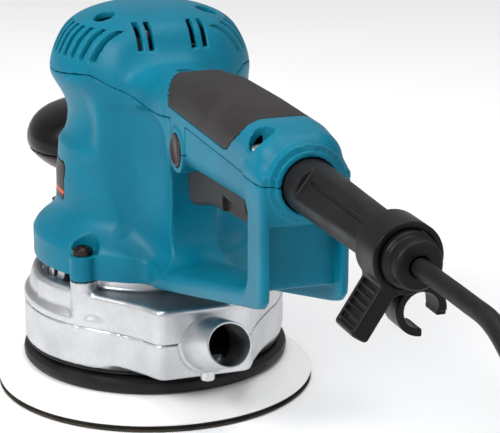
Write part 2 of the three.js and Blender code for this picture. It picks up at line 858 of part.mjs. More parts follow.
// The curved slab that holds one field coil.
function coilWindow(margin) {
  const half = degrees(58) + margin / 24;
  const outline = new THREE.Shape();
  outline.absarc(0, 0, 30 + margin, -half, half, false);
  outline.absarc(0, 0, 24 - margin, half, -half, true);
  return raised(outline, statorBottomZ - 6, statorTopZ + 6, 6);
}

function fieldCoil() {
  const half = degrees(40);
  const window = new THREE.Shape();
  window.absarc(0, 0, 40, -half, half, false);
  window.absarc(0, 0, 20, half, -half, true);
  return coilWindow(0).subtract(raised(window, statorBottomZ + 1, statorTopZ - 1, 5));
}

function armatureCore() {
  const slots = around(12, (angle) => {
    return turnedBy(block([armatureRadius - 6, armatureRadius + 1], [-1.1, 1.1], [0, 200]), angle);
  });
  return ring(shaftRadius + gap, armatureRadius, 94, 128, 24).subtract(union(slots));
}

function windingEnd(bottomZ, height) {
  return turned(
    [
      [shaftRadius + 2, bottomZ],
      [armatureRadius - 6, bottomZ],
      [armatureRadius - 2.5, bottomZ + height * 0.4],
      [armatureRadius - 3, bottomZ + height * 0.8],
      [armatureRadius - 6, bottomZ + height],
      [shaftRadius + 2, bottomZ + height],
    ],
    16,
  );
}

function motorShaft() {
  const flat = [
    [0, 45],
    [shaftRadius, 45],
    [shaftRadius, 153],
    [4, 153],
    [4, 165],
    [0, 165],
  ];
  return turned(flat, 24);
}

function commutator() {
  const slots = around(12, (angle) => {
    return turnedBy(block([commutatorRadius - 1, commutatorRadius + 1], [-0.35, 0.35], [0, 200]), angle);
  });
  return ring(shaftRadius + gap, commutatorRadius, 139, 151, 24).subtract(union(slots));
}

function ballBearing(innerRadius, outerRadius, width) {
  const groove = Math.min(0.8, width / 8);
  const raceThickness = (outerRadius - innerRadius) * 0.3;
  return turned(
    [
      [innerRadius, 0],
      [innerRadius + raceThickness, 0],
      [(innerRadius + outerRadius) / 2, groove],
      [outerRadius - raceThickness, 0],
      [outerRadius, 0],
      [outerRadius, width],
      [innerRadius, width],
    ],
    20,
  );
}

function brushHolder() {
  const tube = block([-5, 5], [14, 33], [140.5, 150]);
  return tube.subtract(block([-3.4, 3.4], [10, 31], [142.1, 148.4]));
}

function carbonBrush() {
  return block([-3.1, 3.1], [commutatorRadius + gap, 26], [142.4, 148.1]);
}

// Straight blades on a disc with a bored hub.
function bladedWheel(radius, hubRadius, bore, bladeCount, discZ, bladeZ) {
  const plate = ring(bore, radius, discZ[0], discZ[1], 24);
  const blades = around(bladeCount, (angle) => {
    return turnedBy(block([hubRadius + 3, radius - 0.8], [-0.9, 0.9], bladeZ), angle);
  });
  return plate.add(union(blades));
}

function coolingFan() {
  const hub = ring(shaftRadius + gap, 10, 64.5, 76, 16);
  return bladedWheel(fanRadius, 14, shaftRadius + gap, 11, [65, 67.2], [67, 75.5]).add(hub);
}

function airBaffle() {
  const [bottomZ, topZ] = [78, 80.2];
  return ring(26, fanRadius + 1.4, bottomZ, topZ, 24).add(ring(26, 28, bottomZ, topZ + 4, 24));
}

// The balanced carrier that holds the pad's bearings off the motor axis.
function eccentricCarrier() {
  const [bottomZ, topZ] = [castingBottomZ + 1, 43.4];
  const body = disc(carrierRadius, bottomZ, topZ, 28);
  const hub = disc(9.5, topZ - 1, 51.8, 24);
  const counterweight = new THREE.Shape();
  counterweight.absarc(0, 0, 44, degrees(128), degrees(232), false);
  counterweight.absarc(0, 0, carrierRadius - 1, degrees(232), degrees(128), true);
  const weight = raised(counterweight, bottomZ + 1, bottomZ + 10, 7);
  const bearingBore = disc(padBearingRadius + gap, bottomZ - 1, 42, 24).translate([eccentricity, 0, 0]);
  const shaftBore = disc(shaftRadius + gap, 40, 60, 20);
  return body.add(hub).add(weight).subtract(bearingBore).subtract(shaftBore);
}

function dustFan() {
  return bladedWheel(50, 26, 9.5 + gap, 10, [43.7, 45.6], [34.5, 43.9]);
}

// ---------------------------------------------------------------- pad, about its own axis

function dustHoles(bottomZ, topZ) {
  return union(
    around(dustHoleCount, (angle) => {
      const [x, y] = polar(dustHoleCircleRadius, angle);
      return disc(dustHoleRadius, bottomZ, topZ, 8).translate([x, y, 0]);
    }),
  );
}

function padSpindle() {
  return turned(
    [
      [4 + gap, backingZ + gap],
      [padSpindleRadius, backingZ + gap],
      [padSpindleRadius, backingTopZ + gap],
      [11, backingTopZ + gap],
      [11, backingTopZ + 2.6],
      [padSpindleRadius, backingTopZ + 3.6],
      [padSpindleRadius, 41.4],
      [0, 41.4],
      [0, 30],
      [4 + gap, 30],
    ],
    24,
  );
}

function padBacking() {
  const edge = backingRadius;
  const plate = turned([
    [padSpindleRadius + gap, backingZ],
    [edge - 1.6, backingZ],
    [edge, backingZ + 1.8],
    [edge, backingTopZ - 2.2],
    [edge - 1.8, backingTopZ],
    [padSpindleRadius + gap, backingTopZ],
  ]);
  return plate.subtract(dustHoles(0, 60));
}

function padFoam() {
  const foam = turned([
    [13, foamZ],
    [padDiameter / 2 - 0.4, foamZ],
    [backingRadius + 0.7, foamZ + foamThickness],
    [13, foamZ + foamThickness],
  ]);
  return foam.subtract(dustHoles(0, 60));
}

function hookFacing() {
  return ring(13, padDiameter / 2 - 0.3, hookZ, hookZ + hookThickness).subtract(dustHoles(0, 60));
}

function abrasiveDisc() {
  return disc(padDiameter / 2, 0, abrasiveThickness, 40).subtract(dustHoles(-1, 60));
}

function padWasher() {
  return ring(4 + gap, 11, backingZ - gap - 1.8, backingZ - gap, 24);
}

function padBolt() {
  const headTopZ = backingZ - 2 * gap - 1.8;
  const head = disc(6.5, headTopZ - 5, headTopZ, 20).subtract(disc(3, headTopZ - 6, headTopZ - 2, 6));
  return head.add(disc(4, headTopZ - 0.5, 28, 20));
}

// ---------------------------------------------------------------- controls

function trigger() {
  const bottom = 107;
  const lever = sideways(
    roundedPolygon([
      [triggerFrontX, 133, 1],
      [triggerFrontX, bottom, 3],
      [triggerFrontX + 16, bottom, 6],
      [triggerFrontX + 42, bottom + 6, 8],
      [triggerPivotX + 4, bottom + 10, 3],
      [triggerPivotX + 8, bottom + 17, 2],
      [triggerPivotX + 6, triggerPivotZ + 3, 4],
      [triggerPivotX - 5, triggerPivotZ + 4, 3],
      [triggerPivotX - 14, 133, 4],
    ]),
    -triggerHalfWidth,
    triggerHalfWidth,
  );
  return lever.subtract(rodY(2 + gap, -20, 20, triggerPivotX, triggerPivotZ, 12));
}

function triggerPin() {
  const half = handleHalfWidth - 2;
  return rodY(2, -half, half, triggerPivotX, triggerPivotZ, 12);
}

function switchBody() {
  return block([112, 134], [-8.6, 8.6], [140, 158]).add(block([116, 121], [-2, 2], [138.6, 141]));
}

function lockButton() {
  const face = handleHalfWidth + 1.2;
  const head = rodY(lockRadius, -face, -handleHalfWidth + 5.2, lockX, lockZ, 16);
  return head.subtract(rodY(lockRadius - 1.6, -face - 1, -face + 0.7, lockX, lockZ, 16));
}

// ---------------------------------------------------------------- mains lead

function cordGuard() {
  const profile = [
    [cordRadius + gap, guardRootX],
    [guardRootRadius + 2.3, guardRootX],
    [guardRootRadius + 2.3, guardRootX + 3],
    [guardRootRadius, guardRootX + 3],
    [guardRootRadius, handleEndX + 8],
    [guardTipRadius + 0.3, guardEndX - 22],
    [guardTipRadius + 0.3, guardEndX - 14],
    [guardTipRadius + 1.4, guardEndX - 13],
    [guardTipRadius + 1.4, guardEndX - 7],
    [guardTipRadius, guardEndX - 6],
    [guardTipRadius, guardEndX],
    [cordRadius + gap, guardEndX],
  ];
  const body = turned(profile, 18).rotate([0, 90, 0]).translate([0, 0, guardZ]);
  const flat = block([handleEndX + 14, guardEndX - 34], [-14, -8.2], [guardZ - 2, guardZ + 14]);
  return body.subtract(flat);
}

function cordClamp() {
  const bar = block([handleEndX - 38, handleEndX - 29], [-12, 12], [guardZ - 8, guardZ + 6]);
  return bar.subtract(rodX(cordRadius + gap, 0, 400, 0, guardZ, 16));
}

// The hook clipped round the end of the guard, with a ribbed thumb tab.
function guardClip() {
  const [x0, x1] = [guardEndX - 25, guardEndX - 9];
  const bore = guardTipRadius + 1.6;
  const collar = rodX(bore + 2.4, x0, x1, 0, guardZ, 20);
  const hookZ0 = guardZ - 19;
  const hook = rodX(9, x0 + 2, x1 - 2, 6, hookZ0, 24).subtract(rodX(6.2, 0, 400, 6, hookZ0, 20));
  const mouth = block([0, 400], [6, 12.5], [hookZ0 - 12, hookZ0 - 1]);
  const tab = block([x0, x1], [-3.2, 3.2], [-31, -9]).rotate([-33, 0, 0]).translate([0, 0, guardZ]);
  const latch = block([x0 + 3, x1 + 5], [11, 15], [hookZ0 - 2.5, hookZ0 + 1]);
  let clip = collar.add(hook.subtract(mouth)).add(tab).add(latch);
  clip = clip.subtract(rodX(6.2, x0 + 2, x1 - 2, 6, hookZ0, 20));
  return largest(clip.subtract(rodX(bore, 0, 400, 0, guardZ, 20)));
}

function hose(points, steps) {
  const route = new THREE.CatmullRomCurve3(points.map(([x, y, z]) => new THREE.Vector3(x, y, z)));
  const section = new THREE.Shape();
  section.absarc(0, 0, cordRadius, 0, 2 * Math.PI, false);
  const settings = { steps, extrudePath: route, bevelEnabled: false, curveSegments: 4 };
  return solidOf(new THREE.ExtrudeGeometry(section, settings));
}

const coilWidth = coilLanes * 2 * cordRadius + 0.6;
const coilHeight = coilLevels * 2 * cordRadius + 0.6;
const coilFloor = 1.4;
const coilOuter = coilMeanRadius + coilWidth / 2;
const laneRadius = coilOuter + cordRadius + gap;

function cordDrop() {
  const [cx, cy] = coilCentre;
  return hose(
    [
      [guardEndX + gap, 0, guardZ],
      [330, 0, guardZ],
      [356, 0, 146],
      [378, -1, 137],
      [393, -4, 117],
      [400, -8, 90],
      [404, -11, 62],
      [411, -12, 34],
      [426, -9, 14],
      [440, -1, 6],
      [452, 14, 3.8],
      [cx + laneRadius - 1, cy - 22, 3.6],
      [cx + laneRadius, cy, 3.6],
    ],
    34,
  );
}

function cordCoil() {
  return ring(coilMeanRadius - coilWidth / 2, coilOuter, coilFloor, coilFloor + coilHeight, 36).translate([
    coilCentre[0],
    coilCentre[1],
    0,
  ]);
}

const tieAngle = 215;

function cordTie() {
  const [inner, outer] = [coilMeanRadius - coilWidth / 2, coilOuter];
  const band = block([inner - 1.3, outer + 1.3], [-4, 4], [0.1, coilFloor + coilHeight + 1.3]);
  const room = block([inner - 0.7, outer + 0.7], [-5, 5], [coilFloor - 0.5, coilFloor + coilHeight + 0.5]);
  return turnedBy(band.subtract(room), tieAngle).translate([coilCentre[0], coilCentre[1], 0]);
}

// The plug lies on the floor where the lead leaves the coil's top turn.
const plug = { entryX: coilCentre[0] - 48, y: coilCentre[1] + laneRadius, z: 13.2, length: 40 };
const pinRadius = 2.4;
const pinLength = 19;
const pinSpacing = 19;

function cordTail() {
  const topTurnZ = coilFloor + coilHeight - cordRadius - 0.3;
  return hose(
    [
      [coilCentre[0] - 2, plug.y, topTurnZ],
      [coilCentre[0] - 14, plug.y, topTurnZ - 1.5],
      [coilCentre[0] - 30, plug.y, plug.z + 4],
      [plug.entryX + 8, plug.y, plug.z + 0.6],
      [plug.entryX + gap, plug.y, plug.z],
    ],
    10,
  );
}

function plugBody() {
  const section = (back, halfWidth, halfHeight) =>
    superellipse(halfWidth, halfHeight, 2.6, 20).map(([y, z]) => {
      return new THREE.Vector3(plug.entryX - back, plug.y + y, plug.z + z);
    });
  return loft([
    section(0, 5, 5),
    section(9, 6.5, 6.5),
    section(14, 14, 9.5),
    section(22, 17.5, 12.5),
    section(plug.length - 3, 17.5, 12.7),
    section(plug.length, 17, 12.2),
  ]);
}

function plugPin(side) {
  const faceX = plug.entryX - plug.length - gap;
  return rodX(pinRadius, faceX - pinLength, faceX, plug.y + (side * pinSpacing) / 2, plug.z, 14);
}

// ---------------------------------------------------------------- assembly

const sander = new THREE.Group();
const carrierAxis = new THREE.Group();
const motorAxis = new THREE.Group();
const housings = new THREE.Group();
const lead = new THREE.Group();
sander.add(housings, motorAxis, lead);
motorAxis.add(carrierAxis);
carrierAxis.position.x = eccentricity;

housings.add(
  part("motor_housing", motorHousing(), teal),
  part("top_cover", topCover(), teal),
  part("handle_overmold", handleOvermold(), softGrip),
  part("badge_plate", badgePlate(), softGrip),
  part("gear_housing", gearHousing(), castAluminium),
  part("skirt_casting", skirtCasting(), castAluminium),
  part("dust_seal", dustSeal(), blackRubber),
  part("front_grip_base", frontGripBase(), blackGloss),
  part("front_grip_cap", frontGripCap(), blackGloss),
  part("front_grip_bolt", frontGripBolt(), steel),
  part("trigger", trigger(), softGrip),
  part("trigger_pin", triggerPin(), steel),
  part("switch_body", switchBody(), blackRubber),
  part("lock_button", lockButton(), blackGloss),
  part("stator_core", statorCore(), laminations),
  part("air_baffle", airBaffle(), whiteNylon),
);

// Pan-head screws, each made once and set in its place.
function screw(headRadius, headHeight, shank, length) {
  const head = turned(
    [
      [0, 0],
      [headRadius, 0],
      [headRadius, headHeight * 0.5],
      [headRadius * 0.7, headHeight],
      [0, headHeight],
    ],
    16,
  );
  const slot = block([-headRadius, headRadius], [-0.45, 0.45], [headHeight - 1, headHeight + 1]);
  const cross = slot.add(turnedBy(slot, 90)).intersect(disc(headRadius * 0.55, 0, headHeight + 1, 12));
  return head.add(disc(shank, -length, 0.5, 12)).subtract(cross);
}

bossAngles.forEach((angle, i) => {
  const mesh = part(`base_screw_${i + 1}`, screw(4.6, 4.2, 2.3, 26), blackScrew);
  const [x, y] = polar(bossCircleRadius, angle);
  mesh.position.set(x, y, bossTopZ + gap);
  housings.add(mesh);
});

Object.entries(coverScrews).forEach(([name, { x, y, headZ }]) => {
  const mesh = part(name, screw(screwHeadRadius, screwHeadHeight, screwShankRadius, 24), steel);
  mesh.position.set(x, y, headZ + gap);
  housings.add(mesh);
});

[-1, 1].forEach((side) => {
  const word = side < 0 ? "left" : "right";
  const coil = part(`field_coil_${side < 0 ? "front" : "rear"}`, fieldCoil(), copper);
  coil.rotation.z = side < 0 ? Math.PI : 0;
  const holder = part(`brush_holder_${word}`, brushHolder(), blackRubber);
  const brush = part(`carbon_brush_${word}`, carbonBrush(), carbon);
  holder.rotation.z = side < 0 ? Math.PI : 0;
  brush.rotation.z = side < 0 ? Math.PI : 0;
  housings.add(coil, holder, brush);
});

const lowerBearing = part("lower_bearing", ballBearing(shaftRadius + gap, lowerBearingRadius, 9), steel);
lowerBearing.position.z = lowerBearingZ;
const upperBearing = part("upper_bearing", ballBearing(4 + gap, upperBearingRadius, 7), steel);
upperBearing.position.z = upperBearingZ;

motorAxis.add(
  lowerBearing,
  upperBearing,
  part("motor_shaft", motorShaft(), steel),
  part("armature_core", armatureCore(), laminations),
  part("armature_winding_lower", windingEnd(86, 7.6), copper),
  part("armature_winding_upper", windingEnd(128.4, 8), copper),
  part("commutator", commutator(), copper),
  part("cooling_fan", coolingFan(), whiteNylon),
  part("eccentric_carrier", eccentricCarrier(), castAluminium),
  part("dust_fan", dustFan(), castAluminium),
);

[castingBottomZ + 1.6, castingBottomZ + 11].forEach((z, i) => {
  const name = i ? "pad_bearing_upper" : "pad_bearing_lower";
  const bearing = part(name, ballBearing(padSpindleRadius + gap, padBearingRadius, 9), steel);
  bearing.position.z = z;
  carrierAxis.add(bearing);
});

carrierAxis.add(
  part("pad_spindle", padSpindle(), steel),
  part("pad_backing", padBacking(), blackRubber),
  part("pad_foam", padFoam(), whiteFoam),
  part("hook_facing", hookFacing(), blackRubber),
  part("abrasive_disc", abrasiveDisc(), abrasive),
  part("pad_washer", padWasher(), steel),
  part("pad_bolt", padBolt(), steel),
);

lead.add(
  part("cord_guard", cordGuard(), blackRubber),
  part("cord_clamp", cordClamp(), whiteNylon),
  part("guard_clip", guardClip(), blackRubber),
  part("cord_drop", cordDrop(), blackRubber),
  part("cord_coil", cordCoil(), blackRubber),
  part("cord_tie", cordTie(), blackRubber),
  part("cord_tail", cordTail(), blackRubber),
  part("plug_body", plugBody(), blackRubber),
  part("plug_pin_left", plugPin(-1), steel),
  part("plug_pin_right", plugPin(1), steel),
);

export default sander;
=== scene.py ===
import math

import bpy
import numpy as np
from mathutils import Matrix, Vector


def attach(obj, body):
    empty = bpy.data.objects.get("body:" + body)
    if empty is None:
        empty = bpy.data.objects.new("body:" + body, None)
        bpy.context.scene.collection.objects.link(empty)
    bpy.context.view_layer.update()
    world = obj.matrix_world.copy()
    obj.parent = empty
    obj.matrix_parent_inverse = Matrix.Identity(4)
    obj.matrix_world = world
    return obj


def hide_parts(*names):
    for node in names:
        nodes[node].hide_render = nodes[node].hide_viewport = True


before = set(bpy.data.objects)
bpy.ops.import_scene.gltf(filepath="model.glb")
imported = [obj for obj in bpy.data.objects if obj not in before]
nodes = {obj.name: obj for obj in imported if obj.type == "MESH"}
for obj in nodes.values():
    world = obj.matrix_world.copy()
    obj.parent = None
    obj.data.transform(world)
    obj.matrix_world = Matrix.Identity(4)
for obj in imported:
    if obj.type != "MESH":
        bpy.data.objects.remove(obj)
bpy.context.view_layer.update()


# ---- Camera: a long lens a little above the rear handle's end, on the trigger hand's left.
camera_turn = math.radians(19.02)
camera_rise = math.radians(16.84)
camera_place = Vector((0.8556, -0.2468, 0.3452))
towards = Vector(
    (
        math.cos(camera_turn) * math.cos(camera_rise),
        -math.sin(camera_turn) * math.cos(camera_rise),
        math.sin(camera_rise),
    )
)
across = Vector((math.sin(camera_turn), math.cos(camera_turn), 0))
turn = Matrix((across, towards.cross(across), towards)).transposed().to_4x4()
camera = bpy.data.objects.new("camera", bpy.data.cameras.new("camera"))
camera.matrix_world = Matrix.Translation(camera_place) @ turn
camera.data.lens = 144
camera.data.sensor_width = 36
bpy.context.scene.collection.objects.link(camera)
bpy.context.scene.camera = camera


# ---- Mains lead: 2.5 m of two-core flex in a black rubber jacket. It leaves the moulded
# guard, droops to the floor and is put away in a coil of ten turns, laid three and two abreast.
cord_radius = 0.0033
lead_exit = (0.3053, 0, 0.1465)


def route(points, per_span):
    """A smooth line through the points: a centripetal Catmull-Rom curve, sampled."""
    p = np.array(points, float)
    p = np.vstack([2 * p[0] - p[1], p, 2 * p[-1] - p[-2]])
    line = []
    for a, b, c, d in zip(p, p[1:], p[2:], p[3:]):
        s, t, w = (np.linalg.norm(q - r) ** 0.5 for q, r in ((b, a), (c, b), (d, c)))
        leave = ((b - a) / s - (c - a) / (s + t) + (c - b) / t) * t
        arrive = ((c - b) / t - (d - b) / (t + w) + (d - c) / w) * t
        for u in np.arange(per_span) / per_span:
            line.append(
                b * (2 * u**3 - 3 * u**2 + 1)
                + leave * (u**3 - 2 * u**2 + u)
                + c * (3 * u**2 - 2 * u**3)
                + arrive * (u**3 - u**2)
            )
    return np.array([*line, p[-2]])


coil_x, coil_y = 0.412, 0.062
lane_pitch, level_pitch = 0.0068, 0.0067
coil_mean_radius = 0.033
arrival_radius = coil_mean_radius + 1.5 * lane_pitch + cord_radius + 0.0003
droop = route(
    [
        lead_exit,
        (0.318, 0, 0.1465), (0.330, 0, 0.1465), (0.343, 0, 0.1464), (0.356, 0, 0.146),
        (0.368, -0.0005, 0.1425), (0.378, -0.001, 0.137), (0.3865, -0.0025, 0.128),
        (0.393, -0.004, 0.117), (0.397, -0.006, 0.104), (0.400, -0.008, 0.090),
        (0.404, -0.011, 0.062), (0.411, -0.012, 0.034), (0.426, -0.009, 0.014),
        (0.440, -0.001, 0.006), (0.452, 0.014, 0.0038),
        (coil_x + arrival_radius - 0.001, coil_y - 0.022, 0.0036),
        (coil_x + arrival_radius, coil_y, 0.0036),
    ],
    6,
)
lanes = [lane * lane_pitch for lane in (1, 0, -1, -0.5, 0.5, 1, 0, -1, -0.5, 0.5)]
levels = [0, 0, 0, 1, 1, 2, 2, 2, 3, 3]
lane_radii = [arrival_radius, *(coil_mean_radius + lane for lane in lanes), arrival_radius]
lane_heights = [0.0036, *(0.005 + level * level_pitch for level in levels), 0.0248]
turns = []
for step in range(1, int(10.25 * 56)):
    turned_by = step / 56
    lane = int(turned_by)
    shift = np.clip((turned_by - lane) / 0.4, 0, 1)
    shift = shift * shift * (3 - 2 * shift)
    radius = lane_radii[lane] + (lane_radii[lane + 1] - lane_radii[lane]) * shift
    height = lane_heights[lane] + (lane_heights[lane + 1] - lane_heights[lane]) * shift
    around = 2 * math.pi * turned_by
    turns.append((coil_x + radius * math.cos(around), coil_y + radius * math.sin(around), height))
plug_y = coil_y + arrival_radius
tail = route(
    [
        (coil_x, plug_y, 0.0248),
        (0.404, plug_y, 0.0243),
        (0.396, plug_y, 0.0226),
        (0.388, plug_y, 0.0197),
        (0.380, plug_y, 0.0168),
        (0.372, plug_y, 0.0142),
        (0.3643, plug_y, 0.0132),
    ],
    5,
)
lead_line = np.vstack([droop, turns, tail])


class Strand:
    """One value in a finish's nodes. Arithmetic on it adds Math nodes."""

    def __init__(self, tree, socket):
        self.tree, self.socket = tree, socket

    def node(self, kind, settings, sockets, output=0):
        """Any other node: its settings first, then the values or links of its sockets."""
        made = self.tree.nodes.new("ShaderNode" + kind)
        for name, value in settings.items():
            setattr(made, name, value)
        for name, value in sockets.items():
            if isinstance(value, Strand):
                self.tree.links.new(value.socket, made.inputs[name])
            else:
                made.inputs[name].default_value = value
        return Strand(self.tree, made.outputs[output])

    def maths(self, operation, first, second):
        return self.node("Math", {"operation": operation}, {0: first, 1: second})

    def __add__(self, other):
        return self.maths("ADD", self, other)

    __radd__ = __add__

    def __sub__(self, other):
        return self.maths("SUBTRACT", self, other)

    def __mul__(self, other):
        return self.maths("MULTIPLY", self, other)

    def clouds(self, per_metre, detail=3.0):
        """Soft noise from 0 to 1 with that many blobs to a metre."""
        return self.node("TexNoise", {}, {"Vector": self, "Scale": per_metre, "Detail": detail})

    def ramp(self, low, high):
        """0 below low and 1 above high."""
        sockets = {"Value": self, "From Min": low, "From Max": high}
        return self.node("MapRange", {"interpolation_type": "SMOOTHSTEP"}, sockets)

    def tint(self, low, high):
        """A colour that goes from low to high as this value goes from 0 to 1."""
        sockets = {"Factor": self, 6: (*low, 1), 7: (*high, 1)}
        return self.node("Mix", {"data_type": "RGBA"}, sockets, output=2)

    def part_of(self, axis):
        """The x, y or z of this place, as output 0, 1 or 2."""
        return self.node("SeparateXYZ", {}, {0: self}, output=axis)

    def bumps(self, strength, metres):
        sockets = {"Height": self, "Strength": strength, "Distance": metres}
        return self.node("Bump", {}, sockets)


def colour(red, green, blue):
    """A display colour, each from 0 to 255, as the linear light that Blender takes."""
    return tuple(((c / 255 + 0.055) / 1.055) ** 2.4 if c > 10 else c / 3294.6 for c in (red, green, blue))


def finish(name, make, **settings):
    """A material whose make(place) gives what varies over the surface, by socket name."""
    material = bpy.data.materials.new(name)
    material.use_nodes = True
    tree = material.node_tree
    shader = tree.nodes["Principled BSDF"]
    shader.inputs["Specular IOR Level"].default_value = 0.16
    for socket, value in settings.items():
        shader.inputs[socket.replace("_", " ")].default_value = value
    place = Strand(tree, tree.nodes.new("ShaderNodeTexCoord").outputs["Object"])
    for socket, strand in make(place).items():
        tree.links.new(strand.socket, shader.inputs[socket])
    return material


def rubber(dark, light, sheen_low, sheen_high, grain_per_metre, grain_depth):
    """Soft matt rubber: cloudy colour, uneven sheen and a fine grain from the mould."""

    def make(place):
        patches = place.clouds(60, 4)
        grain = place.clouds(grain_per_metre, 2)
        return {
            "Base Color": (patches * 0.6 + grain * 0.4).ramp(0.3, 0.7).tint(dark, light),
            "Roughness": sheen_low + patches.ramp(0.3, 0.7) * (sheen_high - sheen_low),
            "Normal": grain.bumps(0.5, grain_depth),
        }

    return make


jacket = finish(
    "cord_jacket", rubber(colour(12, 12, 13), colour(26, 26, 27), 0.38, 0.55, 900, 0.0001)
)


def show(name, mesh, *materials):
    """A new piece at the origin, with its place in its mesh."""
    piece = bpy.data.objects.new(name, mesh)
    bpy.context.scene.collection.objects.link(piece)
    for material in materials:
        mesh.materials.append(material)
    return piece


line = bpy.data.curves.new("mains_lead", "CURVE")
line.dimensions = "3D"
line.bevel_depth = cord_radius
line.bevel_resolution = 3
line.use_fill_caps = True
spline = line.splines.new("POLY")
spline.points.add(len(lead_line) - 1)
spline.points.foreach_set("co", np.c_[lead_line, np.ones(len(lead_line))].ravel())
spline.use_smooth = True
mains_lead = show("mains_lead", line, jacket)
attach(mains_lead, "machine")
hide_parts("cord_drop", "cord_coil", "cord_tail")


# ---- Plug: a rubber body moulded on the lead, with two nickel-plated pins in its face and a
# waist between the strain relief and the finger grips.
plug_entry_x, plug_z = 0.364, 0.0132


def solid(name, points, faces, *materials, sharp=35):
    """A closed piece from points in millimetres and faces, smooth up to an edge angle."""
    mesh = bpy.data.meshes.new(name)
    mesh.from_pydata((np.asarray(points, float) * 0.001).tolist(), [], [list(f) for f in faces])
    mesh.validate()
    mesh.calc_loop_triangles()
    corners = np.empty(len(mesh.loop_triangles) * 3, int)
    mesh.loop_triangles.foreach_get("vertices", corners)
    a, b, c = np.asarray(points, float)[corners].reshape(-1, 3, 3).transpose(1, 0, 2)
    if (a * np.cross(b, c)).sum() < 0:
        mesh.flip_normals()
    mesh.shade_smooth()
    mesh.set_sharp_from_angle(angle=math.radians(sharp))
    return show(name, mesh, *materials)


def skin_of(rings, closed=False):
    """Points and faces of a tube through rings of equally many points, its ends filled."""
    count, rows = len(rings[0]), len(rings)
    points = np.concatenate(rings)
    faces = []
    for row in range(rows if closed else rows - 1):
        a, b = row * count, (row + 1) % rows * count
        for i in range(count):
            j = (i + 1) % count
            faces.append((a + i, a + j, b + j, b + i))
    if not closed:
        faces.append(tuple(range(count))[::-1])
        faces.append(tuple(range((rows - 1) * count, rows * count)))
    return points, faces


def oval(half_width, half_height, power, count=40):
    """Points round an oval; a higher power is boxier."""
    t = np.arange(count) / count * 2 * math.pi
    c, s = np.cos(t), np.sin(t)
    return (
        half_width * np.sign(c) * np.abs(c) ** (2 / power),
        half_height * np.sign(s) * np.abs(s) ** (2 / power),
    )


plug_stations = [
    (0, 4.4, 4.4), (1, 5, 5), (4, 5.3, 5.3), (5, 4.8, 4.8), (6, 5.5, 5.5), (7, 5.0, 5.0),
    (8, 5.9, 5.9), (10, 7.5, 6.6), (13, 12.5, 8.9), (16, 15.6, 10.6), (20, 16.8, 11.9),
    (23, 15.9, 12.1), (27, 15.6, 12.2), (31, 16.4, 12.4), (37, 17.4, 12.7), (39.2, 17.3, 12.6),
    (40, 16.6, 11.9),
]
plug_rings = []
for back, half_width, half_height in plug_stations:
    y, z = oval(half_width, half_height, 2.6)
    x = np.full_like(y, plug_entry_x * 1000 - back)
    plug_rings.append(np.c_[x, plug_y * 1000 - y, plug_z * 1000 + z])
plug_rubber = finish(
    "plug_rubber", rubber(colour(24, 24, 25), colour(40, 40, 42), 0.42, 0.6, 1400, 0.00008)
)
plug_body = solid("plug", *skin_of(plug_rings), plug_rubber)
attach(plug_body, "machine")
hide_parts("plug_body")


def turned(profile, count=64, axis="z", centre=(0, 0, 0)):
    """Points and faces of a closed (radius, height) outline turned about an axis."""
    t = np.arange(count) / count * 2 * math.pi
    rings = []
    for radius, height in profile:
        u, v = radius * np.cos(t), radius * np.sin(t)
        w = np.full(count, height, float)
        ring = {"z": (u, v, w), "x": (w, u, v), "y": (v, w, u)}[axis]
        rings.append(np.stack(ring, 1) + centre)
    points, faces = skin_of(rings, closed=True)
    return points, [face[::-1] for face in faces]


def ribbed(per_metre, axis, rest):
    """Drawn or ground metal: fine lines across an axis, uneven sheen."""

    def make(place):
        lines = place.maths("SINE", place.part_of(axis) * per_metre, 0)
        stains = place.clouds(150, 4)
        return {
            "Base Color": stains.ramp(0.3, 0.75).tint(*rest),
            "Roughness": 0.22 + stains * 0.2,
            "Normal": (lines * 0.5 + place.clouds(3000, 1)).bumps(0.15, 0.00004),
        }

    return make


pin_metal = finish(
    "plug_pin_nickel", ribbed(9000, 0, (colour(176, 174, 168), colour(205, 204, 200))), Metallic=1.0
)
for word, side in (("left", -1), ("right", 1)):
    face_x = plug_entry_x * 1000 - 40.3
    profile = [(0.001, -19), (1.5, -18.9), (2.2, -18.1), (2.4, -16.8), (2.4, 0), (0.001, 0)]
    shape = turned(profile[::-1], 28, "x", (face_x, plug_y * 1000 + side * 9.5, plug_z * 1000))
    pin = solid(f"plug_pin_{word}_bright", *shape, pin_metal)
    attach(pin, "machine")
    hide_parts(f"plug_pin_{word}")

# ---- Tie: a hook-and-loop strap wrapped once round all ten turns to keep the coil together.
tie_angle = math.radians(215)
inner_mm, outer_mm = (coil_mean_radius * 1000 - 10.2, coil_mean_radius * 1000 + 10.2)
tie_rings = []
for t in np.arange(48) / 48 * 2 * math.pi:
    y, z = math.cos(t), math.sin(t)
    reach, rise = (outer_mm - inner_mm) / 2 + 0.9, 14.3
    u = reach * np.sign(y) * abs(y) ** 0.45
    v = rise * np.sign(z) * abs(z) ** 0.45
    spread = 1 + 0.45 / reach
    section = []
    for along, out in ((-4, 1), (4, 1), (4, spread), (-4, spread)):
        r = coil_mean_radius * 1000 + u * out
        x = r * math.cos(tie_angle) - along * math.sin(tie_angle)
        yy = r * math.sin(tie_angle) + along * math.cos(tie_angle)
        height = max(14.7 + v * (out + 0.02 * (out > 1)), 0.3 if out > 1 else 0.75)
        section.append((coil_x * 1000 + x, coil_y * 1000 + yy, height))
    tie_rings.append(np.array(section))


def webbing(place):
    loops = place.node("TexVoronoi", {}, {"Vector": place, "Scale": 1300.0}, output=0)
    fuzz = place.clouds(2600, 2)
    return {
        "Base Color": (loops * 0.7 + fuzz * 0.5).tint(colour(28, 28, 29), colour(62, 61, 60)),
        "Roughness": 0.75 + fuzz * 0.2,
        "Normal": (loops + fuzz * 0.6).bumps(0.8, 0.0003),
    }


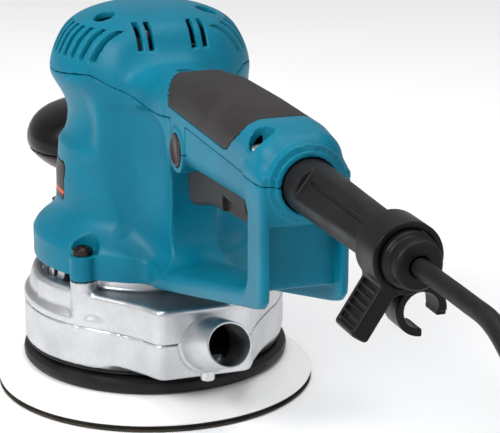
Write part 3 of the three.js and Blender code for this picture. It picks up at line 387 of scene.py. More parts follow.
tie = solid("cord_tie_strap", *skin_of(tie_rings, closed=True), finish("tie_webbing", webbing))
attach(tie, "machine")
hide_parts("cord_tie")


# ---- Cord guard: a tapered sleeve of black rubber moulded round the lead. It has a flat
# panel with a groove down its left flank and a raised collar near its free end.
guard_z_mm = 146.5


def join(a, b, reach):
    """The union of two distance fields, with a fillet that reaches so far."""
    share = np.clip(0.5 + 0.5 * (b - a) / reach, 0, 1)
    return b + (a - b) * share - reach * share * (1 - share)


def both(a, b, reach):
    return -join(-a, -b, reach)


def cut_from(a, b, reach):
    """What is left of field a outside field b, its edge rounded over."""
    return -join(-a, b, reach)


def skin(distance, low, high, step):
    """Points and quads where distance(x, y, z) is zero, by surface nets drawn on to it."""
    step = step
    axes = [np.arange(a, b + step, step, dtype=np.float32) for a, b in zip(low, high)]
    field = distance(*np.meshgrid(*axes, indexing="ij", sparse=True))
    cells = np.array(field.shape)
    strides = np.array([cells[1] * cells[2], cells[2], 1])
    owners, crossings, flips = [], [], []
    for axis in range(3):
        near = [slice(None)] * 3
        far = [slice(None)] * 3
        near[axis], far[axis] = slice(0, -1), slice(1, None)
        near, far = tuple(near), tuple(far)
        at = np.argwhere((field[near] < 0) != (field[far] < 0))
        a = field[near][tuple(at.T)]
        b = field[far][tuple(at.T)]
        place = at.astype(np.float64)
        place[:, axis] += a / (a - b)
        u, v = (axis + 1) % 3, (axis + 2) % 3
        home = at @ strides
        ring = [home, home - strides[u], home - strides[u] - strides[v], home - strides[v]]
        owners.append(np.stack(ring, 1))
        crossings.append(place)
        flips.append(a >= 0)
    owners, crossings = np.concatenate(owners), np.concatenate(crossings)
    flips = np.concatenate(flips)
    corner = np.unique(owners, return_inverse=True)[1].reshape(owners.shape)
    count = np.bincount(corner.ravel())
    points = np.stack(
        [np.bincount(corner.ravel(), np.repeat(crossings[:, k], 4)) / count for k in range(3)], 1
    )
    points = points * step + np.array(low)
    nudge = 0.15 * step
    for _ in range(4):
        x, y, z = points.T
        value = distance(x, y, z)
        slope = np.stack(
            [
                (distance(x + nudge, y, z) - value) / nudge,
                (distance(x, y + nudge, z) - value) / nudge,
                (distance(x, y, z + nudge) - value) / nudge,
            ],
            1,
        )
        move = slope * (value / np.maximum((slope**2).sum(1), 0.2))[:, None]
        reach = np.linalg.norm(move, axis=1)[:, None]
        points = points - move * np.minimum(1, 0.45 * step / np.maximum(reach, 1e-9))
    faces = np.where(flips[:, None], corner[:, ::-1], corner)
    return points, faces


def guard_field(x, y, z):
    z = z - guard_z_mm
    radius = np.interp(
        x,
        [191, 194.2, 194.4, 200, 211, 283, 291, 292.2, 297.8, 299, 304, 305],
        [12.5, 12.5, 10.2, 10.2, 10.2, 8.7, 8.7, 9.8, 9.8, 8.5, 8.4, 7.6],
    )
    round_the_cord = np.hypot(y, z)
    sleeve = both(round_the_cord - radius, abs(x - 248) - 57, 0.6)
    sleeve = cut_from(sleeve, round_the_cord - 3.6, 0.3)
    lie = 0.6 * y + 0.8 * z
    face = -0.8 * y + 0.6 * z
    panel = both(7.7 - face, abs(x - 246) - 29, 0.8)
    sleeve = cut_from(sleeve, panel, 0.6)
    groove = both(abs(lie - 1.4) - 0.8, abs(x - 248) - 27, 0.4)
    groove = both(groove, 6.9 - face, 0.2)
    sleeve = cut_from(sleeve, groove, 0.2)
    window = both(abs(x - 286.5) - 2.6, 6.8 - face, 0.4)
    return cut_from(sleeve, both(window, abs(lie + 2) - 5, 0.4), 0.4)


guard_rubber = finish(
    "guard_rubber", rubber(colour(12, 12, 12), colour(26, 25, 26), 0.36, 0.52, 1100, 0.00008)
)
guard = solid(
    "cord_guard_sleeve",
    *skin(guard_field, (189.5, -14, 132.5), (306.5, 14, 160.5), 0.55),
    guard_rubber,
    sharp=50,
)
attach(guard, "machine")
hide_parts("cord_guard")

# ---- Guard clip: a springy nylon collar that turns on the guard. It has a ribbed thumb tab
# on one side and an open hook with a latch below, to hold the lead or a coat hook.


clip_x_mm = 288


def clip_field(x, y, z):
    z = z - guard_z_mm
    across_x = abs(x - clip_x_mm)
    around = np.hypot(y, z)
    collar = both(abs(around - 11.2) - 1.2, across_x - 8, 0.7)
    turn = math.radians(-33)
    side = y * math.cos(turn) + z * math.sin(turn)
    down = -z * math.cos(turn) + y * math.sin(turn)
    tab = both(abs(side) - 3.2, across_x - 8, 1.2)
    tab = both(tab, abs(down - 20.5) - 10.5, 1.6)
    dish = both(across_x - 6.2, abs(down - 21) - 8, 0.8)
    tab = cut_from(tab, both(dish, 1.7 - abs(side), 0.3), 0.4)
    ribs = both(abs((down - 0.9) % 2.6 - 1.3) - 0.55, abs(side) - 2.6, 0.3)
    ribs = both(ribs, both(across_x - 6.4, abs(down - 21) - 8, 0.3), 0.3)
    tab = join(tab, ribs, 0.3)
    clip = join(collar, tab, 1.6)
    ring = np.hypot(y - 6, z + 19)
    hook = both(abs(ring - 7.6) - 1.4, across_x - 6, 0.7)
    mouth = both(both(6.2 - y, y - 20, 0.3), both(z + 20, -33 - z, 0.3), 0.3)
    clip = join(clip, cut_from(hook, mouth, 0.6), 1.0)
    latch = both(abs(y - 13) - 2, both(across_x - 5, abs(z + 19.8) - 1.8, 0.4), 0.4)
    clip = join(clip, latch, 0.6)
    clip = cut_from(clip, both(ring - 6.2, across_x - 9, 0.2), 0.3)
    return cut_from(clip, around - 10, 0.3)


clip_nylon = finish(
    "clip_nylon", rubber(colour(10, 10, 11), colour(22, 22, 23), 0.3, 0.46, 1600, 0.00005)
)
clip = solid(
    "guard_clip_hook",
    *skin(clip_field, (278.5, -26, 115), (297.5, 22, 161), 0.45),
    clip_nylon,
    sharp=50,
)
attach(clip, "clip")
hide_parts("guard_clip")

# ---- Motor housing and top cover: glass-filled nylon, 2.6 mm thick, moulded in teal. The cover
# carries the dome and the upper half of the handle, and four screws pull it on to the housing.
wall_mm = 2.6
base_mm = 61.5


def template(outline, low, high, step=0.5):
    """Distance to a closed flat outline, negative inside, read off a grid of it."""
    points = np.array(outline, float)
    u, v = (np.arange(a, b + step, step) for a, b in zip(low, high))
    across_u, across_v = np.meshgrid(u, v, indexing="ij")
    nearest = np.full(across_u.shape, 1e9)
    inside = np.zeros(across_u.shape, bool)
    for (a, b), (c, d) in zip(points, np.roll(points, -1, 0)):
        e, f = c - a, d - b
        share = np.clip(((across_u - a) * e + (across_v - b) * f) / max(e * e + f * f, 1e-9), 0, 1)
        nearest = np.minimum(
            nearest, (across_u - a - share * e) ** 2 + (across_v - b - share * f) ** 2
        )
        if d != b:
            crossed = (across_v < b) != (across_v < d)
            inside ^= crossed & (across_u < a + e * (across_v - b) / f)
    grid = (np.sqrt(nearest) * np.where(inside, -1, 1)).astype(np.float32)

    def read(a, b):
        i = np.clip((a - low[0]) / step, 0, len(u) - 1.01)
        j = np.clip((b - low[1]) / step, 0, len(v) - 1.01)
        i0, j0 = np.floor(i).astype(int), np.floor(j).astype(int)
        s, t = i - i0, j - j0
        return (grid[i0, j0] * (1 - s) + grid[i0 + 1, j0] * s) * (1 - t) + (
            grid[i0, j0 + 1] * (1 - s) + grid[i0 + 1, j0 + 1] * s
        ) * t

    return read


column_side = route(
    [
        (55, 73.5), (53.2, 76.3), (48.8, 80), (45.7, 83.5), (44.2, 87), (43.8, 92), (43.7, 105),
        (43.9, 118), (44.2, 130), (44.7, 141), (45.3, 149), (44.8, 152.5), (44.0, 155.5),
        (43.1, 158), (41.8, 161), (40, 164.3), (37.6, 167.5), (34, 170.4), (29, 172.9), (22, 175.1),
        (14, 176.4), (6, 176.9), (0, 177),
    ],
    4,
)
column_side = [(-12, 30), (55, 30), *column_side, (-12, 177)]
column_read = template(column_side, (-12, 50), (90, 186))
loop_read = template(
    [
        (20, 61.5), (57, 61.5), (62, 62.3), (192, 96.3), (199, 98.6), (202.4, 102), (203, 107),
        (203, 150), (20, 150),
    ],
    (-60, 50),
    (212, 186),
)
finger_read = template(
    route(
        [
            (81, 155), (81, 150), (80.5, 126), (77, 117), (71, 107), (66.8, 98), (65.7, 91),
            (66.8, 84.5), (70.5, 79.5), (76, 77.2), (84, 79), (120, 88.2), (160, 98.5),
            (176, 102.7), (182, 105.5), (185, 110), (185.5, 116), (185.5, 150), (185.5, 155),
        ],
        3,
    ),
    (-60, 50),
    (212, 186),
)
seam_read = template(
    [
        (-80, 149.2), (5, 149.3), (19, 150.8), (27, 151.6), (30.5, 150.4), (36, 147.2), (42, 144),
        (48, 142.6), (58, 142.6), (72, 143.6), (84, 144.9), (89.5, 145.6), (89.8, 134.5),
        (109.8, 134.5), (109.8, 146.6), (240, 146.6), (240, 230), (-80, 230),
    ],
    (-70, 50),
    (215, 190),
)
cover_screw_spots = {
    "left": (10.2, -23.5, 167),
    "right": (10.2, 23.5, 167),
    "saddle": (57, 0, 154),
    "rear": (188, -12, 156),
}
boss_circle_mm = 55.5
boss_spots = [
    (boss_circle_mm * math.cos(turn), boss_circle_mm * math.sin(turn))
    for turn in map(math.radians, (50, 145, -145, -50))
]


handle_half_mm = 17.5


def column_field(x, y, z):
    """The upright body: a flared base, a palm hollow round its front and a domed cap."""
    angle = np.degrees(np.arctan2(y, x))
    left = np.clip((-54 - angle) / 16 + 0.5, 0, 1)
    right = np.clip((angle - 90) / 20 + 0.5, 0, 1)
    hollow = np.maximum(left, right)
    hollow = hollow * hollow * (3 - 2 * hollow)
    deep = np.interp(
        z,
        [100, 108, 115.2, 116.6, 118.4, 120, 123, 126.5, 130, 133, 136, 138.5, 141, 143.5, 146, 149],
        [0, 1.0, 1.7, 2.7, 4.2, 4.9, 5.8, 6.4, 6.5, 5.9, 5, 3.9, 2.6, 1.3, 0.3, 0],
    )
    column = column_read(np.hypot(x, y) + deep * hollow, z)
    slope = 0.942 * x + 0.336 * z - 89.6
    return both(column, join(slope, z - 152, 3), 5)


def bar_field(x, y, z):
    """The handle's upper bar, a rounded box in section that starts inside the column."""
    half = np.interp(
        x, [18, 46, 60, 74, 183, 195, 200.5, 204], [14, 15.5, 16.5, 17.5, 17.5, 16.9, 15.4, 14]
    )
    top = np.interp(
        x,
        [18, 46, 60, 74, 100, 140, 183, 195, 203],
        [155, 156.5, 158, 161, 164, 165, 165, 163.5, 160],
    )
    low = np.interp(x, [71, 203], [124, 133])
    middle, rise = (top + low) / 2, (top - low) / 2
    over_y, over_z = abs(y) - half + 11, abs(z - middle) - rise + 11
    outside = np.hypot(np.maximum(over_y, 0), np.maximum(over_z, 0))
    section = outside + np.minimum(np.maximum(over_y, over_z), 0) - 11
    return both(both(section, x - 203, 8), -x, 1)


def body_field(x, y, z):
    """The outside of the whole housing, both mouldings together."""
    side = abs(y)
    loop = loop_read(x, z)
    frame_ring = both(loop, side - handle_half_mm, 2.5)
    lowered = 4 * (side / handle_half_mm) ** 2 * np.clip((118 - z) / 10, 0, 1)
    frame_ring = cut_from(frame_ring, finger_read(x, z + lowered), 3)
    web = both(both(side - 13.9, -6.5 - loop, 0.6), 71 - x, 1)
    frame_ring = cut_from(frame_ring, both(web, z - 131, 1), 1)
    body = join(column_field(x, y, z), bar_field(x, y, z), 12)
    body = join(body, frame_ring, 5)
    scoop_low = np.interp(
        x, [30, 34.5, 36.7, 40, 44, 53, 68, 185, 205], [100, 89.7, 81.7, 78, 76, 71.5, 71, 101.1, 106]
    )
    scoop = both(np.hypot(x - 62, side - 43) - 32.3, scoop_low - z, 10)
    body = cut_from(body, both(scoop, z - 141, 7), 1.5)
    away = np.hypot(y, z - guard_z_mm)
    collar_reach = np.interp(x, [190, 202, 204.4, 204.5, 206, 206.1], [15, 15, 14.8, 12.9, 12.8, 12.2])
    body = join(body, both(both(away - collar_reach, x - 206.2, 0.5), 188 - x, 1), 0.8)
    lock = both(np.hypot(x - 99.5, z - 134.5) - 9.5, side - 18.3, 0.5)
    body = join(body, lock, 0.8)
    for boss_x, boss_y in boss_spots:
        around = np.hypot(x - boss_x, y - boss_y)
        body = join(body, both(around - 5.9, z - 73, 0.6), 2)
        body = cut_from(body, both(around - 7.5, 73.05 - z, 0.3), 0.6)
    return both(body, base_mm - z, 0.8)


def room_field(x, y, z):
    """The room inside for the motor and the switch, open at the base."""
    room = join(column_field(x, y, z), bar_field(x, y, z), 12) + wall_mm
    for boss_x, boss_y in boss_spots:
        room = cut_from(room, both(np.hypot(x - boss_x, y - boss_y) - 10.2, z - 92, 0.5), 0.5)
    for side in (-1, 1):
        room = cut_from(room, np.hypot(x - 10.2, y - 23.5 * side) - 4.6 + 3 * (z < 138), 0.4)
    room = both(room, x - 183, 1)
    return cut_from(room, np.hypot(x - 57, y) - 5.5, 0.4)


def grip_field(x, y, z):
    """Where the soft grip covers the handle."""
    front = 68 + 19 * (y / handle_half_mm) ** 2 - x
    rear = np.interp(z, [150, 151.8, 159.1, 165], [160.5, 164.7, 173.7, 175.5])
    return both(both(front, x - rear, 2), 150.2 - z, 2)


def badge_field(x, y, z):
    """Where the badge lies, a rounded rectangle wrapped round the front of the column."""
    along = (np.degrees(np.arctan2(y, x)) + 119) * math.pi / 180 * 43.8
    over_u, over_v = abs(along) - 29 + 2.5, abs(z - 98.5) - 8.5 + 2.5
    outside = np.hypot(np.maximum(over_u, 0), np.maximum(over_v, 0))
    return outside + np.minimum(np.maximum(over_u, over_v), 0) - 2.5


def shell_field(x, y, z):
    outside = body_field(x, y, z)
    shell = cut_from(outside, both(room_field(x, y, z), outside + wall_mm, 1), 0.5)
    pocket = both(-2.1 - outside, grip_field(x, y, z) - 0.15, 0.2)
    shell = cut_from(shell, both(pocket, outside - 1, 0.2), 0.2)
    plate = both(badge_field(x, y, z) - 0.15, -0.9 - outside, 0.1)
    return cut_from(shell, both(plate, 30 - np.hypot(x, y), 0.1), 0.1)


def bores_field(x, y, z):
    """The rooms cut through both mouldings, for the trigger, the guard and the lock button."""
    slot = both(both(abs(x - 120) - 40, abs(y) - 8.6, 0.3), abs(z - 124) - 24, 0.3)
    bore_radius = np.interp(
        x,
        [176, 176.1, 190.5, 190.6, 194.8, 194.9, 203, 212],
        [8, 10.5, 10.5, 12.9, 12.9, 10.5, 10.5, 11.6],
    )
    guard_bore = both(np.hypot(y, z - guard_z_mm) - bore_radius, 165 - x, 0.3)
    lock_bore = both(np.hypot(x - 99.5, z - 134.5) - 7.2, y + 9.4, 0.3)
    return np.minimum(np.minimum(slot, guard_bore), lock_bore)


def vents_field(x, y, z):
    """Eight slots on each side of the dome, four in its rear, and the four screw recesses."""
    around = np.hypot(x, y)
    across = abs((x + 14) % 5.6 - 1.3) - 1.3
    sides = both(across, abs(z - 163.5) - 6.5, 0.3)
    sides = both(sides, both(31 - around, abs(x - 6.9) - 21.5, 0.2), 0.2)
    rears = np.minimum(
        np.minimum(abs(y + 14.2), abs(y + 9.4)), np.minimum(abs(y - 9.8), abs(y - 15.2))
    )
    rears = both(both(rears - 1.15, abs(z - 167.5) - 5.2, 0.3), abs(x - 42) - 18, 0.3)
    cut = np.minimum(sides, rears)
    for screw_x, screw_y, low in cover_screw_spots.values():
        cut = np.minimum(cut, both(np.hypot(x - screw_x, y - screw_y) - 4.7, low - z, 0.2))
    return cut


def housing_field(x, y, z):
    piece = both(shell_field(x, y, z), 0.18 - seam_read(x, z), 0.35)
    return cut_from(piece, bores_field(x, y, z), 0.3)


def cover_field(x, y, z):
    piece = both(shell_field(x, y, z), seam_read(x, z) + 0.18, 0.35)
    piece = cut_from(piece, bores_field(x, y, z), 0.3)
    return cut_from(piece, vents_field(x, y, z), 0.4)


def carve(piece, *tools, operation="DIFFERENCE", sharp=40):
    """The piece after one exact boolean with each tool; the tools are removed."""
    for tool in tools:
        boolean = piece.modifiers.new("carve", "BOOLEAN")
        boolean.operation, boolean.object, boolean.solver = operation, tool, "MANIFOLD"
    seen = piece.evaluated_get(bpy.context.evaluated_depsgraph_get())
    mesh = bpy.data.meshes.new_from_object(seen)
    piece.modifiers.clear()
    piece.data = mesh
    mesh.shade_smooth()
    mesh.set_sharp_from_angle(angle=math.radians(sharp))
    for tool in tools:
        bpy.data.objects.remove(tool)
    return piece


def moulded(dark, light, grain_per_metre, grain_depth, gloss):
    """Injection-moulded plastic: nearly even colour, with a fine spark-eroded grain."""

    def make(place):
        grain = place.clouds(grain_per_metre, 2)
        wear = place.clouds(40, 4)
        return {
            "Base Color": (wear * 0.7 + grain * 0.3).ramp(0.3, 0.7).tint(dark, light),
            "Roughness": gloss + wear * 0.12,
            "Normal": grain.bumps(0.4, grain_depth),
        }

    return make


teal = finish(
    "teal_nylon",
    moulded(colour(0, 97, 121), colour(0, 110, 134), 1500, 0.00006, 0.36),
)
lower_body = solid(
    "motor_shell", *skin(housing_field, (-62, -64, 58), (210, 64, 155), 1.0), teal, sharp=40
)
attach(lower_body, "machine")
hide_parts("motor_housing")
upper_body = solid(
    "dome_and_handle_cover", *skin(cover_field, (-50, -50, 131), (210, 50, 180), 0.8), teal, sharp=40
)
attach(upper_body, "machine")
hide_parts("top_cover")


# ---- Soft grip: a skin of grey thermoplastic rubber moulded over the top of the handle, flush
# with the nylon round it.
def soft_skin_field(x, y, z):
    outside = body_field(x, y, z)
    layer = both(both(outside, -1.9 - outside, 0.4), grip_field(x, y, z), 0.3)
    return cut_from(layer, np.hypot(x - 57, y) - 4.7, 0.3)


soft_grip = finish(
    "soft_grip_rubber", moulded(colour(38, 35, 35), colour(50, 46, 46), 1200, 0.0001, 0.5)
)
grip = solid(
    "handle_soft_grip",
    *skin(soft_skin_field, (62, -20, 147), (180, 20, 168), 0.8),
    soft_grip,
    sharp=50,
)
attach(grip, "machine")
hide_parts("handle_overmold")


# ---- Badge: a thin dark plate let into the front of the column. A plain orange line takes the
# place of its printing.
def badge_skin_field(x, y, z):
    outside = body_field(x, y, z)
    plate = both(both(outside - 0.05, -0.75 - outside, 0.15), badge_field(x, y, z), 0.2)
    return both(plate, 30 - np.hypot(x, y), 0.5)


def print_line(place):
    off_line = place.part_of(2) - 0.0935
    line_height = off_line.maths("ABSOLUTE", off_line, 0) - 0.0009
    fleck = place.clouds(1800, 2)
    inked = line_height.ramp(0.00012, -0.00012)
    return {
        "Base Color": inked.tint(colour(38, 37, 38), colour(196, 70, 30)),
        "Roughness": 0.3 + fleck * 0.2,
    }


badge = solid(
    "badge",
    *skin(badge_skin_field, (-52, -50, 87), (12, -20, 110), 0.6),
    finish("badge_print", print_line),
    sharp=50,
)
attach(badge, "machine")
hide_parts("badge_plate")

# ---- Castings: two bead-blasted aluminium die castings, one on the other, held to the nylon by
# the four long screws. The upper one carries the outlet tube.
tube_root = np.array([72.0, 2.5, 38.7])
tube_tilt = math.radians(17.8)
outlet_centre_y = 1.7


box_read = template(
    [
        (10, -59), (20, -55.5), (38, -46), (57, -31.5), (66, -25.6), (71.5, -22.8), (74.3, -21),
        (75.4, -18.5), (75.5, -15), (75.5, 15), (75.4, 18.5), (74.3, 21), (71.5, 22.8), (66, 25.6),
        (57, 31.5), (38, 46), (20, 55.5), (10, 59),
    ],
    (-90, -90),
    (110, 90),
)


def box_plan(x, y):
    """The outlet box seen from above: it swells out of the round casting to a flat face."""
    return box_read(x, y - outlet_centre_y)


def tube_place(x, y, z):
    """How far a place is along the outlet tube from its root, and how far from its axis."""
    dx, dy, dz = x - tube_root[0], y - tube_root[1], z - tube_root[2]
    along = dx * math.cos(tube_tilt) + dz * math.sin(tube_tilt)
    up = dz * math.cos(tube_tilt) - dx * math.sin(tube_tilt)
    return along, np.hypot(dy, up)


upper_side = template(
    [
        *route(
            [(60, 40), (60, 43.8), (59.2, 45), (57.4, 46.6), (56.9, 50), (56.2, 53), (55.2, 54.8)], 4
        ),
        (54, 55), (52.8, 54.4), (51.8, 52), (50.6, 51.2), (50.3, 52), (50.2, 61.2), (-12, 61.2),
        (-12, 40),
    ],
    (-12, 15),
    (95, 70),
)


def upper_casting_field(x, y, z):
    around = np.hypot(x, y)
    body = upper_side(around, z)
    box = both(box_plan(x, y), z - 56.2, 2.2)
    box = both(box, 8 - x, 1)
    body = join(body, box, 2.5)
    for boss_x, boss_y in boss_spots:
        away = np.hypot(x - boss_x, y - boss_y)
        cone = away - np.interp(z, [41, 47, 61.2], [2.6, 5.0, 5.9])
        body = join(body, both(cone, z - 61.2, 0.5), 2.5)
    along, off = tube_place(x, y, z)
    room = both(around - 56, z - 42.8, 0.5)
    room = join(room, both(around - 45.5, 50.8 - z, 0.5), 0.1)
    room = join(room, both(both(box_plan(x, y) + 4, z - 46.8, 1), 30 - x, 1), 0.3)
    neck = both(around - 19.4, abs(z - 56.5) - 6, 0.2)
    body = cut_from(body, cut_from(room, neck, 0.2), 0.4)
    body = join(body, both(around - 19.3, abs(z - 54) - 7.4, 0.2), 0.2)
    body = cut_from(body, around - np.where(z > 52.2, 15.3, 12.3), 0.2)
    plate = both(abs(z - 48.8) - 2, around - 55, 0.2)
    body = join(body, both(plate, 15.3 - around, 0.2), 0.2)
    bore = both(off - (11.3 - 2.4 * along / 36), abs(along + 3) - 12, 0.2)
    body = cut_from(body, bore, 0.35)
    turned_by = np.degrees(np.arctan2(y, x))
    pitch = (turned_by % 12 - 6) * math.pi / 180 * around
    window = both(abs(pitch) - 2.4, abs(z - 56.3) - 3.5, 0.6)
    window = both(window, abs(around - 47.6) - 4.2, 0.2)
    for boss_x, boss_y in boss_spots:
        window = cut_from(window, np.hypot(x - boss_x, y - boss_y) - 7.8, 0.3)
    window = both(window, x - 30, 0.5)
    body = cut_from(body, window, 0.4)
    return both(body, 40.62 - z, 0.35)


def lower_casting_field(x, y, z):
    around = np.hypot(x, y)
    body = both(around - 60, 22 - z, 0.7)
    box = both(both(box_plan(x, y), 24 - z, 2.4), 8 - x, 1)
    body = join(body, box, 2.5)
    boss = both(np.hypot(x - 77, y - 2) - 3.2, abs(z - 26.8) - 3.3, 0.4)
    body = join(body, boss, 0.8)
    room = both(around - 56, 10 - z, 0.5)
    box_room = both(both(box_plan(x, y) + 4, 28 - z, 1), 30 - x, 1)
    body = cut_from(body, join(room, box_room, 0.3), 0.4)
    along, off = tube_place(x, y, z)
    body = cut_from(body, both(off - (12.65 - 2.4 * along / 36), -14 - along, 0.2), 0.3)
    return both(body, z - 40.38, 0.35)


def blasted(place):
    """Bead-blasted die casting: a pale, even sparkle with soft darker flow marks."""
    grain = place.clouds(1700, 3)
    flow = place.clouds(45, 4)
    return {
        "Base Color": (flow * 0.6 + grain * 0.4).ramp(0.25, 0.75).tint(
            colour(178, 180, 183), colour(214, 215, 217)
        ),
        "Roughness": 0.3 + grain * 0.16,
        "Normal": (grain + flow * 0.5).bumps(0.35, 0.0001),
    }


tube_outline = [
    (11.2, 0.4), (13.6, 0.4), (13.5, 3.4), (12.9, 4.1), (12.4, 5.0), (12.1, 6.5), (10.05, 35.5),
    (9.85, 35.9), (9.5, 36), (9.1, 35.8), (8.95, 35.4),
]
cast_metal = finish("bead_blasted_aluminium", blasted, Metallic=1.0)
for name, field, low, high, node in (
    ("upper_casting", upper_casting_field, (-64, -64, 39), (108, 64, 64), "gear_housing"),
    ("lower_casting", lower_casting_field, (-64, -64, 20.5), (82, 64, 42.5), "skirt_casting"),
):
    casting = solid(name, *skin(field, low, high, 0.9), cast_metal, sharp=35)
    if node == "gear_housing":
        points, faces = turned(tube_outline, 96, "x")
        along, aside, up = points.T
        sine, cosine = math.sin(tube_tilt), math.cos(tube_tilt)
        bent = np.c_[along * cosine - up * sine, aside, along * sine + up * cosine]
        tube = solid("outlet_tube", bent + tube_root, faces, cast_metal)
        carve(casting, tube, operation="UNION")
    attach(casting, "machine")
    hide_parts(node)


# ---- Dust seal: a moulded rubber lip that closes the gap between the skirt and the pad.
seal_outline = [
    (52.6, 19.8), (58.6, 19.8), (59.4, 20.3), (59.4, 21.6), (55.4, 21.7), (55.4, 24.6),
    (52.6, 24.8),
]
seal_rubber = finish(
    "seal_rubber", rubber(colour(20, 20, 21), colour(38, 37, 38), 0.45, 0.65, 1300, 0.0001)
)
seal = solid("skirt_lip_seal", *turned(seal_outline, 128), seal_rubber)
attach(seal, "machine")
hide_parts("dust_seal")

# ---- Sanding pad: a white polyurethane foam cone moulded under a black rubber-edged plate,
# drilled with six dust holes. It turns on its own axis, 2.75 mm off the motor's.
pad_axis = (2.75, 0, 0)


def dust_hole_cutters():
    """Six round cutters through the pad, on a circle of 80 mm."""
    shapes = []
    for i in range(6):
        angle = i * math.pi / 3
        centre = (pad_axis[0] + 40 * math.cos(angle), 40 * math.sin(angle), 0)
        rod = turned([(0.001, -2), (5, -2), (5, 24), (0.001, 24)], 40, "z", centre)
        shapes.append(solid(f"dust_hole_{i}", *rod))
    return shapes


foam_outline = [
    (13, 2.45), (72.4, 2.45), (73.4, 2.75), (73.6, 3.3), (73.1, 4.1), (69.4, 7.2), (65.6, 10.4),
    (63.2, 11.7), (62.2, 12.05), (13, 12.05),
]


def foam_skin(place):
    cells = place.clouds(2600, 3)
    shade = place.clouds(30, 3)
    return {
        "Base Color": (shade * 0.7 + cells * 0.3).ramp(0.25, 0.75).tint(
            colour(226, 226, 226), colour(240, 240, 239)
        ),
        "Roughness": 0.7 + cells * 0.2,
        "Normal": cells.bumps(0.3, 0.0001),
    }


pad_pieces = (
    (
        "backing_plate",
        [
            (6.4, 12.45), (58.5, 12.45), (60.4, 12.9), (61.4, 14.2), (61.6, 15.8), (61.2, 17.6),
            (59.8, 18.8), (58, 19.1), (6.4, 19.1),
        ],
        "pad_backing",
        "black_rubber",
        finish(
            "backing_rubber", rubber(colour(16, 16, 17), colour(34, 33, 34), 0.35, 0.55, 1200, 0.0001)
        ),
    ),
    ("foam_cone", foam_outline, "pad_foam", "white_foam", finish("white_foam_skin", foam_skin)),
    (
        "hook_face",
        [(13, 1.12), (72.3, 1.12), (72.5, 1.6), (72.3, 2.08), (13, 2.08)],
        "hook_facing",
        "black_rubber",
        finish("hook_pile", rubber(colour(26, 26, 27), colour(52, 51, 50), 0.7, 0.9, 2600, 0.0003)),
    ),
    (
        "sanding_sheet",
        [(0.001, 0), (73.3, 0), (73.5, 0.3), (73.3, 0.8), (0.001, 0.8)],
        "abrasive_disc",
        "abrasive",
        finish("grit", rubber(colour(34, 30, 28), colour(76, 68, 60), 0.8, 0.95, 3200, 0.0003)),
    ),
)
for name, outline, node, slot_name, material in pad_pieces:
    piece = solid(name, *turned(outline, 160, "z", pad_axis), material)
    carve(piece, *dust_hole_cutters(), sharp=35)
    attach(piece, "pad")
    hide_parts(node)

# ---- Front grip: a hard black palm grip in two halves, a bowl bolted to the column and a glossy
# dome pressed on to it.
palm_x_mm, palm_half_length, palm_half_width, palm_power = -79.7, 33.3, 39, 2.15


def grip_rings(stations):
    rings = []
    for long_share, wide_share, height in stations:
        u, v = oval(palm_half_length * long_share, palm_half_width * wide_share, palm_power, 96)
        rings.append(np.c_[palm_x_mm + u, v, np.full_like(u, height)])
    return rings


bowl_stations = [
    (0.30, 0.32, 80.0), (0.52, 0.54, 80.1), (0.60, 0.62, 80.6), (0.68, 0.69, 81.8),
    (0.77, 0.77, 83.6), (0.85, 0.85, 86.0), (0.92, 0.92, 88.6), (0.975, 0.975, 91.0),
    (0.99, 0.99, 92.0), (0.985, 0.985, 92.35),
]
dome_stations = [
    (0.985, 0.985, 92.65), (0.995, 0.995, 93.0), (1.005, 1.005, 94.5), (1.01, 1.01, 97.0),
    (1.0, 1.0, 99.5), (0.97, 0.975, 102.4), (0.915, 0.93, 105.4), (0.84, 0.865, 108.2),
    (0.74, 0.775, 110.6), (0.61, 0.66, 112.6), (0.45, 0.50, 114.1), (0.28, 0.32, 114.8),
    (0.12, 0.14, 115.0),
]


def gloss_shell(place):
    wear = place.clouds(70, 4)
    return {
        "Base Color": wear.ramp(0.3, 0.7).tint(colour(12, 12, 12), colour(24, 23, 23)),
        "Roughness": 0.2 + wear * 0.14,
        "Normal": place.clouds(900, 2).bumps(0.15, 0.00004),
    }


grip_gloss = finish("palm_grip_gloss", gloss_shell)
cap = solid("palm_grip_dome", *skin_of(grip_rings(dome_stations)), grip_gloss, sharp=45)
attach(cap, "machine")
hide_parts("front_grip_cap")


def bowl_field(x, y, z):
    shares = np.array(bowl_stations)
    long_half = palm_half_length * np.interp(z, shares[1:, 2], shares[1:, 0])
    wide_half = palm_half_width * np.interp(z, shares[1:, 2], shares[1:, 1])
    u, v = abs(x - palm_x_mm) / long_half, abs(y) / wide_half
    away = (u**palm_power + v**palm_power) ** (1 / palm_power) - 1
    shape = away * np.minimum(long_half, wide_half) * 0.85
    bowl = both(shape, abs(z - 86.2) - 6.15, 1.2)
    neck = both(abs(y) - 11, both(abs(z - 85.4) - 5.6, abs(x + 60) - 20, 1), 1.5)
    bowl = join(bowl, neck, 2)
    bowl = cut_from(bowl, body_field(x, y, z) - 0.3, 0.3)
    tool_room = both(both(abs(x + 80.7) - 7, abs(y) - 7, 0.5), z - 92.5, 0.5)
    bowl = cut_from(bowl, tool_room, 0.4)
    return cut_from(bowl, both(np.hypot(y, z - 86) - 4.3, -76 - x, 0.2), 0.3)


bowl = solid(
    "palm_grip_bowl", *skin(bowl_field, (-115, -41, 78.5), (-36, 41, 94), 1.0), grip_gloss, sharp=45
)
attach(bowl, "machine")
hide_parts("front_grip_base")


# ---- Trigger: a two-finger lever of dark nylon on a steel pin, with a hollow back end.
trigger_read = template(
    [
        (82.3, 134), (82, 117.6), (82.6, 110.5), (83.6, 107.9), (85.8, 107.1), (89, 107.2),
        (98, 109.3), (108, 112.5), (117, 114.3), (126, 115.3), (140, 116.2), (152, 117.4),
        (157, 119.5), (158, 124), (157, 138), (154, 142), (146, 142), (137, 134),
    ],
    (74, 96),
    (168, 150),
)


